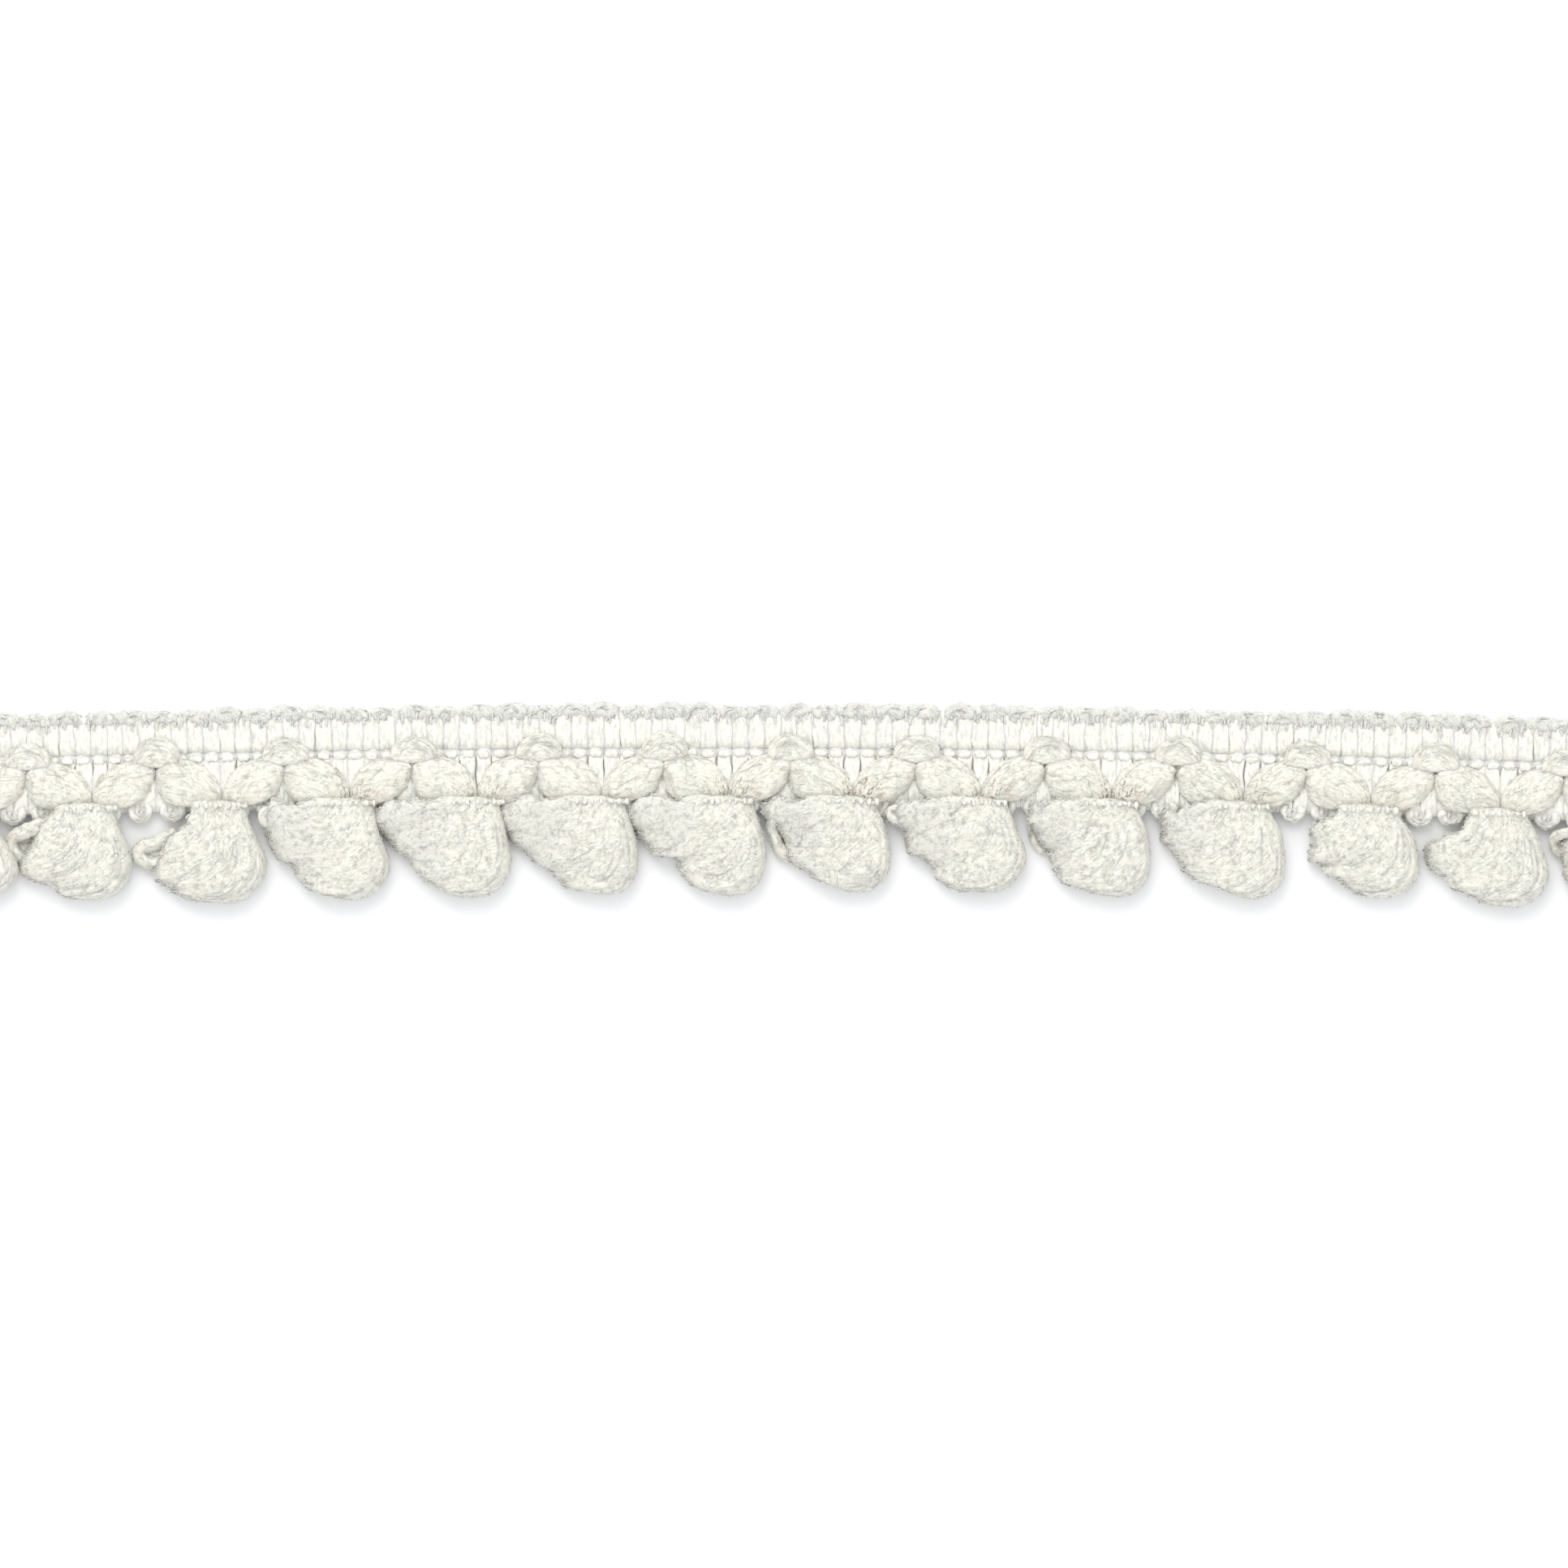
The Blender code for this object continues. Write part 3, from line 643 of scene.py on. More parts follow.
chance = random.Random(13)
stitch_skins = []
share = np.linspace(-1, 1, 11)
swell = np.maximum(0.0, 1 - share**2) ** 0.3
dent = 0.10 * np.exp(-((share / 0.3) ** 2))
for course in range(COURSES):
    x = -LENGTH / 2 + (course + 0.5) * COURSE + chance.uniform(-0.06, 0.06)
    v = STITCH_DOWN + chance.uniform(-0.06, 0.06)
    drop = STITCH_HALF_DROP * chance.uniform(0.85, 1.15) * swell
    wide = STITCH_HALF_WIDTH * chance.uniform(0.90, 1.05)
    skin = cushion(x, wide, v - drop, v + drop, STITCH_LOW, 0.14 + 0.30 * swell - dent, 9)
    stitch_skins.append((roughened(skin, STITCH_RELIEFS, course + 300), 0.0))
heading_yarn("heading_chain_stitches", stitch_skins, [], 1.0e6, 13, float_finish)

# The edge arches. Along the top the yarn turns back in a row of small fluffy loops, one to two courses.
# They are dull, loosely twisted cord, brushed up by wear, with short bright ends round their feet.
ARCH = 2 * COURSE
ARCH_FOOT = 1.25
ARCH_RELIEFS = ((0.9, 1.0, 0.36), (0.42, 1.0, 0.26))
STRANDS_PER_ARCH = 5
# Places along the trim, and how far the arches there stand off their even pitch
ARCH_SHIFTS = (
    (-115.0, -0.9), (-80.0, -1.1), (-40.0, -1.6), (-8.0, -2.1), (28.0, -2.0), (54.0, -1.55),
    (115.0, -1.2),
)


def strand(points, girth, tone):
    """One loose strand of a brushed mass, away from the necks."""
    return (np.asarray(points, float), girth, tone, 0.0)


chance = random.Random(14)
arch_skins, arch_strands = [], []
for arch in range(COURSES // 2 + 1):
    middle = -LENGTH / 2 + (arch + 0.5) * ARCH
    middle += np.interp(middle, *zip(*ARCH_SHIFTS)) + chance.uniform(-0.22, 0.22)
    if abs(middle) > LENGTH / 2 - 1.5:
        continue
    crest = 0.62 + chance.uniform(-0.20, 0.26)
    half = 1.02 + chance.uniform(-0.12, 0.14)
    lean = chance.uniform(-0.2, 0.2)
    # A loop is so fluffy that it fills its own eye, from one foot to the other
    dome = np.sqrt(np.maximum(0.0, 1 - np.linspace(-1, 1, 17) ** 2)) ** 0.8
    top = ARCH_FOOT - (ARCH_FOOT - crest + 0.50) * dome
    skin = cushion(middle + lean, half + 1.15, top, 2.0 + 0.40 * dome, 1.05, 0.26 + 0.42 * dome, 14)
    arch_skins.append((roughened(skin, ARCH_RELIEFS, arch + 50), 0.0))
    # Short ends round the feet, and curls over the crest
    for end in range(STRANDS_PER_ARCH):
        x = middle + (end - 2) * ARCH / STRANDS_PER_ARCH + chance.uniform(-0.4, 0.4)
        v = chance.uniform(0.9, 1.8)
        bend = chance.uniform(-0.4, 0.4)
        long = chance.uniform(0.7, 1.5)
        arch_strands.append(strand(
            [
                (x, v, 1.4), (x + bend, v + 0.3 * long, 1.74), (x + bend * 1.3, v + 0.7 * long, 1.78),
                (x + bend * 0.4, v + long, 1.4),
            ],
            chance.uniform(1.8, 3.4), chance.uniform(0.85, 1.0),
        ))
    for _ in range(STRANDS_PER_ARCH):
        bend = np.radians(np.linspace(0, chance.uniform(40, 100), 5) + chance.uniform(5, 115))
        radius = chance.uniform(0.45, 1.05) * half + 0.42
        arch_strands.append(strand(
            np.column_stack([
                middle + lean + radius * np.cos(bend), crest + 0.95 - radius * 0.85 * np.sin(bend),
                np.array([1.35, 1.66, 1.72, 1.66, 1.35]) - 0.30 * (radius > 1.2),
            ]),
            chance.uniform(1.4, 2.8), chance.uniform(0.3, 1.0),
        ))
arch_finish = yarn_finish(
    "fluffy edge cord", (0.73, 0.73, 0.67), (0.50, 0.505, 0.46), (0.69, 0.675, 0.61),
    0.20, 1.4, 0.30, 1.6, 0.07, 0.55, 0.3, "grain",
)
heading_yarn("heading_edge_arches", arch_skins, arch_strands, 2.4e6, 14, arch_finish)

# The picots. The lower edge is a row of small U-shaped loops of plump twisted cord, one to two courses.
# They stick out below the knitting, and the tassels' heads lie over most of them.
PICOT_FOOT = 13.95
PICOT_HALF = 1.12
PICOT_GIRTH = 0.60
PICOT_RELIEFS = ((0.5, 0.7, 0.18), (0.30, 1.0, 0.12))
STRANDS_PER_PICOT = 6
chance = random.Random(15)
picot_skins, picot_strands = [], []
for picot in range(COURSES // 2):
    middle = -LENGTH / 2 + (picot + 0.5) * ARCH + chance.uniform(-0.12, 0.12)
    foot = PICOT_FOOT + chance.uniform(-0.14, 0.12)
    half = PICOT_HALF + chance.uniform(-0.08, 0.08)
    leg = ((0.9, 12.2, 1.30), (1.02, 12.95, 1.32), (0.72, foot - 0.32, 1.16))
    cord = [
        *((middle - half * out, down, high) for out, down, high in leg),
        (middle, foot, 1.04),
        *((middle + half * out, down, high) for out, down, high in leg[::-1]),
    ]
    girth = PICOT_GIRTH * chance.uniform(0.92, 1.08)
    skin = cord_skin(cord, girth, 0.62, 22, 10, picot * 2.3, 0.18, 0.15)
    picot_skins.append((roughened(skin, PICOT_RELIEFS, picot + 20), 0.0))
    # The two legs cross behind the loop, which closes its eye
    web = [
        (middle + out, down, high)
        for out, down, high in (
            (-0.5, 12.3, 1.2), (-0.25, 13.1, 1.25), (0.25, 13.1, 1.25), (0.5, 12.3, 1.2),
        )
    ]
    picot_skins.append((cord_skin(web, 0.72, 0.50, 9, 6, picot * 5.1), 0.0))
    for _ in range(STRANDS_PER_PICOT):
        start = chance.uniform(185, 275)
        bend = np.radians(np.linspace(start, start + 80, 5))
        radius = half + chance.uniform(-0.40, 0.35)
        picot_strands.append(strand(
            np.column_stack([
                middle + radius * np.cos(bend), foot - half * 0.75 - radius * 0.75 * np.sin(bend),
                (1.45, 1.70, 1.74, 1.70, 1.45),
            ]),
            chance.uniform(1.6, 2.8), chance.uniform(0.6, 1.0),
        ))
heading_yarn("heading_picots", picot_skins, picot_strands, 1.1e6, 15, float_finish)

# The roving. A thick, soft, brushed yarn zigzags over the heading's face: up from a tassel's neck as a
# plump leaf, round a small low arch at the peak, and down as a second leaf to the next neck.
NECK_SHIFTS = (0.0, 0.0, 0.3, 0.2, 0.2, -0.3, -0.5, -0.9, -0.9, -0.6, -0.1, -0.2, 0.0, 0.0)
ROVING_BASE = 1.45
# From a neck to a peak: out and down of the leaf's upper edge, out and down of its lower edge, height.
# The leaf to the left of a neck is a little the larger.
RIGHT_LEAF = (
    (0.12, 10.1, 0.10, 12.30, 1.3),
    (0.85, 8.85, 1.50, 12.55, 2.0),
    (1.90, 7.75, 3.00, 12.60, 2.3),
    (3.05, 7.10, 4.60, 12.35, 2.4),
    (4.30, 6.75, 6.00, 11.75, 2.4),
    (5.60, 6.60, 7.10, 10.90, 2.3),
    (6.80, 6.75, 7.80, 9.90, 2.1),
    (7.60, 7.20, 8.10, 9.10, 1.8),
    (8.05, 7.75, 8.25, 8.60, 1.2),
    (8.22, 8.05, 8.27, 8.25, 0.5),
)
LEFT_LEAF = (
    *RIGHT_LEAF[:3],
    (3.05, 7.10, 4.80, 12.60, 2.4),
    (4.30, 6.70, 6.60, 12.20, 2.4),
    (5.60, 6.50, 7.70, 11.40, 2.3),
    (6.80, 6.60, 8.30, 10.40, 2.1),
    (7.70, 7.00, 8.60, 9.40, 1.8),
    (8.30, 7.60, 8.65, 8.80, 1.2),
    (8.50, 7.95, 8.55, 8.30, 0.5),
)
SECTIONS_PER_LEAF = 30
POINTS_ROUND = 36
LEAF_FULLNESS = 0.60
LEAF_EDGE_RISE = 0.9
KNOT_HALF = 3.1
KNOT_FOOT = 7.5
KNOT_RISE = 3.1
KNOT_THICK = 0.9
KNOT_EDGE_RISE = 0.75
KNOT_ROUND = 20
# Skin points lie nearer to each other than this
POINT_GAP = 0.42
# How far a long fibre's ends dip into the mass
DIP = 0.12
# How strongly beige patches and dark flecks mark the necks that have the most of them, and all the others
NECK_MARKING = {3: 0.7, 4: 0.65, 6: 0.75, 7: 1.0, 8: 0.75, 9: 1.0, 10: 0.65, 11: 0.4}
LEAST_NECK_MARKING = 0.15


def neck_along(index):
    """Where a tassel's neck is along the trim."""
    even = (index - (TASSELS - 1) / 2) * TASSEL_PITCH
    return even + (NECK_SHIFTS[index] if 0 <= index < TASSELS else 0.0)


def on_skin(rings, out, s, p, lift):
    """Places over a skin at ring s and round it at p, both in fractions of a step."""
    count, points = rings.shape[:2]
    s = np.clip(s, 0, count - 1.001)
    i, u = s.astype(int), (s % 1)[:, None]
    p = p % points
    j, w = p.astype(int), (p % 1)[:, None]
    k = (j + 1) % points
    flat = lambda grid: (
        (grid[i, j] * (1 - w) + grid[i, k] * w) * (1 - u)
        + (grid[i + 1, j] * (1 - w) + grid[i + 1, k] * w) * u
    )
    return flat(rings) + flat(out) * np.asarray(lift)[:, None]


def leaf_skin(neck, side, leaf):
    """One leaf as rings from its neck to the peak. side is 1 to the right and -1 to the left."""
    line = smooth_through(leaf, SECTIONS_PER_LEAF)
    angle = np.linspace(0, 2 * np.pi, POINTS_ROUND, endpoint=False)
    across, up = np.cos(angle), np.sin(angle)
    # A leaf is full along its middle, thin towards its edges and nearly flat below
    up = np.where(up > 0, 0.22 * up + 0.78 * up**2, up * 0.12)
    high, low = line[:, 0:2], line[:, 2:4]
    middle, half = (high + low) / 2, (high - low) / 2
    rings = np.empty((len(line), POINTS_ROUND, 3))
    rings[:, :, :2] = middle[:, None] + half[:, None] * across[None, :, None]
    rings[:, :, 0] = neck + side * rings[:, :, 0]
    rings[:, :, 2] = ROVING_BASE + LEAF_FULLNESS * up * line[:, None, 4]
    # Where a tassel's wing lies against it, the lower edge stays high and hides no shadow
    beside = np.clip((line[:, 3] - 10.4) / 1.5, 0, 1) * np.clip(line[:, 2] - 0.6, 0, 1)
    lower_edge = np.maximum(-across, 0) ** 1.5 * (np.sin(angle) > -0.01)
    rings[:, :, 2] += LEAF_EDGE_RISE * beside[:, None] * lower_edge
    return rings


def knot_skin(peak, seed):
    """The small arch at a peak, a low crescent with its feet behind the two leaves."""
    dome = np.sqrt(np.maximum(0.0, 1 - np.linspace(-1, 1, 23) ** 2))
    chance = random.Random(seed)
    top = 6.9 - (KNOT_RISE + chance.uniform(-0.3, 0.4)) * dome**0.9
    rings = cushion(peak, KNOT_HALF, top, KNOT_FOOT, ROVING_BASE, KNOT_THICK, KNOT_ROUND)
    up = rings[:, :, 2] - ROVING_BASE
    soft = np.where(up > 0, 0.3 * up + 0.7 * up**2, up)
    rings[:, :, 2] = ROVING_BASE + (0.30 + 0.70 * dome)[:, None] * soft
    # Its foot runs on into the two leaves, with no crease
    turn = np.linspace(0, 2 * np.pi, KNOT_ROUND, endpoint=False)
    foot = np.maximum(-np.cos(turn), 0) ** 1.5 * (np.sin(turn) > -0.01)
    rings[:, :, 2] += KNOT_EDGE_RISE * dome[:, None] * foot
    return rings


def neck_marking(places):
    """How strongly places are marked beside a neck, nothing at 4.2 mm from it and the whole of it at 2.2
    mm.
    """
    near_neck_mark = np.zeros(places.shape[:-1])
    for index in range(TASSELS):
        out = places[..., 0] - neck_along(index)
        far = np.hypot(out - 0.5, 1.4 * (places[..., 1] - 11.4))
        near_neck_mark = np.maximum(near_neck_mark, NECK_MARKING.get(index, LEAST_NECK_MARKING) * np.clip((4.2 - far) / 2.0, 0, 1))
    return near_neck_mark


def roving_fibres(rings, count, seed):
    """Long fibres that lie along a span, a little off its surface, and dip in at their ends."""
    chance = random.Random(seed)
    out = skin_normals(rings)
    last = len(rings) - 1
    fibres = []
    for _ in range(count):
        reach = chance.uniform(0.12, 0.36) * last
        start = chance.uniform(-0.05, 1.0) * last
        s = np.linspace(start, start + reach, 7)
        if s[-1] > last:
            s -= s[-1] - last
        turn = chance.uniform(-0.14, 0.14) * POINTS_ROUND
        p = POINTS_ROUND * chance.uniform(-0.04, 0.54) + np.linspace(0, turn, 7)
        lift = chance.uniform(0.0, 0.12) + np.array([-DIP, 0, 0.02, 0.03, 0.02, 0, -DIP])
        points = on_skin(rings, out, np.clip(s, 0, last), p, lift)
        near_neck_mark = neck_marking(points)
        fibres.append((points, chance.uniform(0.5, 1.0), chance.uniform(0.3, 1.0), near_neck_mark))
    return fibres


def settled(places, skins, floor, lift):
    """Places laid down on whatever skin is under them, or else on the floor, in mm."""
    cloud = np.concatenate([rings.reshape(-1, 3) for rings in skins])
    for place in places:
        near = cloud[np.hypot(cloud[:, 0] - place[0], cloud[:, 1] - place[1]) < POINT_GAP]
        place[2] = max([floor, *near[:, 2]]) + lift
    return places


def knot_wraps(peak, skins, count, seed):
    """Strands that bend over the peak, round the knot or wide over both leaves."""
    chance = random.Random(seed)
    wraps = []
    for number in range(count):
        wide = number % 2
        radius = chance.uniform(2.4, 4.6) if wide else chance.uniform(1.2, 2.7)
        x = peak + chance.uniform(-0.9, 0.9)
        v = 6.6 + 0.5 * radius * wide + chance.uniform(-0.9, 0.7)
        start = chance.uniform(-15, 120)
        end = min(start + chance.uniform(35, 80), 195)
        bend = np.radians(np.linspace(start, end, 8))
        points = np.column_stack([
            x + radius * 0.9 * np.cos(bend), v - radius * np.sin(bend), 0 * bend,
        ])
        settled(points, skins, 1.6, -0.02)
        points[[0, -1], 2] -= 0.22
        wraps.append((points, chance.uniform(0.4, 0.8), chance.uniform(0.6, 1.0), 0.0))
    return wraps


roving_finish = yarn_finish(
    "brushed roving", (0.77, 0.76, 0.68), (0.585, 0.575, 0.51), (0.75, 0.71, 0.625),
    0.26, 4.5, 0.34, 2.4, 0.06, 0.62, 0.25, "grain",
)
ROVING_FIBRES = 26
KNOT_WRAPS = 26
ROVING_RELIEFS = ((1.6, 2.0, 0.16), (0.7, 3.0, 0.08), (0.36, 2.2, 0.07))
for index in range(TASSELS + 1):
    skins, strands = [], []
    for neck, side, leaf in ((index - 1, 1, RIGHT_LEAF), (index, -1, LEFT_LEAF)):
        if 0 <= neck < TASSELS:
            rings = roughened(leaf_skin(neck_along(neck), side, leaf), ROVING_RELIEFS, 2 * index + side)
            skins.append((rings, neck_marking(rings)))
            strands += roving_fibres(rings, ROVING_FIBRES, 200 + 2 * index + side)
    peak = (neck_along(index - 1) + neck_along(index)) / 2
    if index in (0, TASSELS):
        peak = math.copysign(LENGTH / 2, index - 1)
    skins.append((roughened(knot_skin(peak, index), ROVING_RELIEFS, 70 + index), 0.0))
    if 0 < index < TASSELS:
        strands += knot_wraps(peak, [rings for rings, _ in skins], KNOT_WRAPS, 250 + index)
    # The two outer spans end where the trim is cut
    for rings, _ in skins:
        np.clip(rings[:, :, 0], -LENGTH / 2, LENGTH / 2, out=rings[:, :, 0])
    span = brushed_mass(
        f"roving_span_{index:02d}", skins, strands,
        fibre_thickness=0.055 * MM, points_per_fibre=6, wander=0.5 * MM, wander_size=0.55 * MM,
        pile_per_square_metre=3.0e6, pile_length=0.62 * MM, pile_thickness=0.042 * MM,
        pile_lift=0.12 * MM, seed=300 + index, finish=roving_finish,
    )
    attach(span, "root")
    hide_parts(f"roving_{index:02d}")

# The tassels. Each is a bunch of soft looped roving, bound across its neck over the heading's lower
# edge. Its loops sweep down and to the left, so it is round on the right and ragged on the left.
NECK_DOWN = 12.65
# In millimetres from the neck, along and down: the upper edge of the left wing, the wing's end and the
# ragged flank down to the toe, and the round right cheek from the head down to the toe.
TASSEL_RIMS = (
    (((-6.5, 0.7),),
     ((-9.6, 1.6), (-10.2, 3.4), (-9.4, 5.6), (-8.2, 7.4), (-6.6, 9.2), (-5.0, 10.3), (-3.2, 11.0)),
     ((3.4, 1.2), (4.9, 3.4), (6.2, 5.6), (6.7, 7.8), (5.2, 9.8), (2.6, 11.0), (-0.4, 11.3))),
    (((-5.6, 0.4), (-7.0, 1.4)),
     ((-8.0, 2.6), (-8.2, 4.6), (-9.4, 6.4), (-9.8, 7.6), (-8.6, 8.6), (-7.0, 9.2), (-5.5, 10.0),
      (-4.7, 10.7), (-3.2, 11.2)),
     ((3.2, 1.8), (4.2, 4.2), (4.9, 6.6), (4.6, 8.6), (3.7, 10.1), (2.4, 11.1), (0.3, 11.5),
      (-1.5, 11.45))),
    (((-4.9, 1.6), (-6.2, 2.6)),
     ((-7.2, 3.6), (-8.0, 5.4), (-8.8, 7.2), (-9.2, 8.4), (-8.7, 9.3), (-7.6, 10.2), (-6.3, 11.1),
      (-5.0, 11.7), (-3.2, 12.0)),
     ((3.3, 1.7), (4.3, 4.0), (5.3, 6.2), (5.5, 7.7), (5.2, 9.0), (3.8, 10.9), (2.6, 11.9), (0.9, 12.3),
      (-1.2, 12.2))),
    (((-6.5, -0.7), (-9.6, -1.1)),
     ((-11.2, -0.4), (-11.5, 1.8), (-11.1, 3.3), (-10.5, 5.2), (-9.8, 6.4), (-8.0, 7.6), (-7.4, 8.8),
      (-6.5, 9.9), (-5.5, 10.7), (-3.6, 11.2)),
     ((3.2, 0.9), (3.8, 3.8), (4.6, 5.9), (5.0, 7.9), (4.5, 9.5), (3.6, 10.8), (2.2, 11.8), (0.2, 12.2),
      (-1.8, 11.9))),
    (((-6.5, -0.6), (-9.8, -1.1)),
     ((-13.5, -0.4), (-13.7, 2.0), (-12.2, 4.0), (-10.6, 5.8), (-9.2, 7.1), (-7.9, 8.8), (-6.4, 9.5),
      (-5.6, 10.4), (-4.0, 10.8)),
     ((2.9, 0.7), (3.5, 2.9), (3.9, 5.3), (4.2, 7.3), (4.0, 8.8), (3.0, 10.5), (1.4, 11.7), (-0.9, 12.0),
      (-2.9, 11.8))),
    (((-6.5, -0.7), (-9.6, -1.1)),
     ((-13.3, -0.4), (-13.5, 1.8), (-11.8, 4.5), (-10.6, 5.9), (-9.3, 7.1), (-8.1, 8.1), (-6.2, 9.4),
      (-5.0, 10.7), (-3.7, 11.0)),
     ((3.1, 0.7), (3.9, 3.0), (4.5, 5.4), (4.6, 7.2), (4.5, 8.8), (3.8, 10.3), (2.9, 11.3), (1.4, 11.7),
      (-1.0, 11.6))),
    (((-6.5, -0.7), (-9.6, -1.1)),
     ((-13.2, -0.4), (-13.4, 1.8), (-12.2, 3.4), (-11.0, 5.0), (-10.2, 6.6), (-9.1, 7.0), (-8.0, 6.6),
      (-6.9, 7.2), (-6.4, 8.6), (-5.5, 9.8), (-4.6, 10.7), (-3.4, 11.2)),
     ((3.4, 0.9), (4.2, 3.2), (4.8, 5.6), (4.8, 8.0), (4.4, 9.5), (3.8, 10.4), (2.9, 11.4), (1.2, 12.0),
      (-0.6, 11.9))),
    (((-6.2, -0.9), (-9.2, -0.8)),
     ((-11.9, -0.3), (-11.7, 1.3), (-10.6, 2.8), (-9.4, 4.0), (-8.8, 5.4), (-8.6, 6.8), (-7.6, 8.0),
      (-6.4, 8.7), (-5.0, 9.8), (-3.9, 10.1), (-3.0, 10.5)),
     ((3.1, 0.6), (4.1, 2.9), (4.8, 5.6), (4.8, 7.8), (4.5, 9.1), (4.0, 9.9), (2.8, 11.0), (1.5, 11.4),
      (-0.3, 11.4))),
    (((-6.2, -0.8), (-9.2, -0.6)),
     ((-11.5, 0.2), (-11.6, 1.8), (-10.4, 3.4), (-9.7, 5.0), (-9.8, 6.0), (-9.3, 6.7), (-7.9, 6.9),
      (-6.9, 7.6), (-6.2, 8.4), (-6.1, 9.2), (-5.4, 9.9), (-4.0, 10.8), (-2.6, 11.2)),
     ((3.7, 1.0), (4.6, 3.2), (5.5, 5.1), (5.9, 7.0), (5.5, 8.3), (4.5, 9.8), (3.6, 10.7), (2.0, 11.3),
      (-0.4, 11.3))),
    (((-6.0, -0.9), (-8.6, -0.8)),
     ((-10.5, -0.2), (-10.7, 1.6), (-10.2, 3.4), (-9.5, 4.8), (-8.3, 5.8), (-7.8, 7.2), (-7.2, 8.8),
      (-6.3, 9.9), (-5.0, 10.4), (-3.5, 10.7), (-2.4, 11.2)),
     ((3.5, 0.9), (4.5, 2.9), (4.9, 4.2), (5.1, 6.2), (5.1, 7.8), (4.8, 9.1), (4.2, 10.2), (3.0, 11.3),
      (1.5, 11.7), (-0.3, 11.6))),
    (((-6.0, -0.7), (-8.8, -0.4)),
     ((-10.7, 0.2), (-10.7, 2.6), (-10.5, 4.0), (-10.0, 5.2), (-8.9, 6.2), (-8.6, 7.0), (-7.9, 8.0),
      (-7.0, 8.8), (-5.8, 9.5), (-4.2, 9.8), (-2.9, 10.3)),
     ((3.9, 1.3), (4.9, 2.9), (5.4, 5.6), (5.6, 7.5), (5.4, 9.0), (4.9, 9.8), (4.1, 10.6), (2.5, 11.5),
      (1.0, 11.6), (-0.8, 11.1))),
    (((-5.0, 0.6),),
     ((-7.2, 1.3), (-7.7, 2.6), (-7.6, 4.5), (-8.2, 6.0), (-7.8, 6.7), (-6.5, 6.9), (-6.1, 7.8),
      (-5.4, 8.4), (-3.8, 9.0), (-2.4, 10.0), (-0.9, 10.9)),
     ((4.2, 1.3), (5.6, 3.1), (6.3, 5.5), (6.5, 7.1), (6.2, 8.5), (5.4, 9.6), (4.6, 10.5), (3.4, 10.9),
      (2.0, 11.1), (0.7, 11.1))),
    (((-4.6, 1.4), (-6.4, 2.7)),
     ((-8.6, 3.9), (-9.5, 4.6), (-9.4, 5.8), (-9.1, 6.6), (-8.2, 7.7), (-7.3, 8.1), (-6.4, 9.2),
      (-5.6, 9.8), (-4.0, 10.3), (-2.1, 11.2)),
     ((4.4, 1.7), (5.5, 3.8), (5.9, 5.1), (6.4, 6.6), (6.5, 7.9), (6.1, 9.2), (5.3, 10.3), (4.0, 11.2),
      (2.5, 11.8), (0.1, 11.7))),
    (((-4.4, 0.8), (-6.2, 1.8)),
     ((-8.0, 2.6), (-8.6, 4.4), (-8.2, 6.4), (-7.4, 8.2), (-6.2, 9.5), (-4.8, 10.4), (-3.2, 11.0)),
     ((3.5, 1.2), (4.6, 3.4), (5.4, 6.0), (5.4, 8.2), (4.4, 10.0), (2.6, 11.2), (0.2, 11.5))),
)
# Single loops that stand apart from their tassel: the tassel, half the loop's width, and its path
LOOSE_LOOPS = (
    (1, 0.92, ((-5.6, 1.7), (-8.4, 2.5), (-10.3, 3.6), (-10.3, 5.0), (-9.2, 5.9), (-7.4, 6.0))),
    (2, 0.90, ((-6.0, 3.2), (-8.6, 4.5), (-10.3, 5.0), (-10.9, 5.9), (-10.2, 6.8), (-8.8, 7.0),
               (-7.2, 6.6))),
    (3, 0.60, ((-7.2, 0.9), (-9.2, 0.6), (-10.9, 0.8), (-10.9, 2.0), (-9.4, 2.5), (-7.4, 2.2))),
    (4, 0.60, ((-7.2, 9.2), (-5.6, 10.1), (-3.8, 10.5), (-2.0, 10.3), (-0.2, 9.7))),
    (6, 0.70, ((-4.6, 1.0), (-5.4, 2.8), (-6.4, 4.4), (-8.0, 5.4), (-9.6, 5.6), (-10.6, 4.8))),
    (7, 0.80, ((-9.6, 1.6), (-10.3, 3.0), (-9.9, 4.6), (-9.2, 6.2), (-7.8, 7.1), (-5.8, 7.3))),
    (8, 0.52, ((-3.0, 0.8), (-6.6, 0.5), (-10.2, 0.5), (-11.7, 1.1), (-11.3, 2.0), (-9.6, 2.6),
               (-7.4, 2.6), (-5.0, 2.8))),
    (9, 0.50, ((-8.6, 1.8), (-9.9, 2.6), (-9.9, 4.2), (-9.4, 5.4), (-8.4, 5.8), (-6.8, 5.2))),
    (10, 0.62, ((-7.0, 5.6), (-8.6, 5.2), (-9.6, 4.2), (-9.7, 2.8), (-8.6, 2.2))),
    (12, 0.62, ((-5.6, 3.4), (-7.4, 4.6), (-8.8, 5.2), (-8.4, 6.6), (-7.0, 6.8))),
    (13, 0.66, ((-5.6, 1.6), (-7.8, 2.0), (-9.2, 2.7), (-9.3, 3.8), (-8.2, 4.6), (-6.6, 4.6))),
)
# The tassels with a full wing, which reaches their neighbour
FULL_WINGS = range(3, 11)
# The left and the right end of a tassel's root, under the binding
ROOT_LEFT = (-3.9, -1.15)
ROOT_RIGHT = (3.0, -0.50)
# Heights of the head's underside, its top and the crown below it, and the fall from there to the tip
HEAD_BASE = 1.5
HEAD_TOP = 3.45
CROWN_TOP = 4.35
TIP_DROP = 1.2
# How far in from the tip, the wing's edge and the cheek's a tassel is rounded off
TIP_ROUND = 2.6
WING_ROUND = 2.0
CHEEK_ROUND = 2.3
TUFT_STEPS = 54
TUFT_COLUMNS = 76
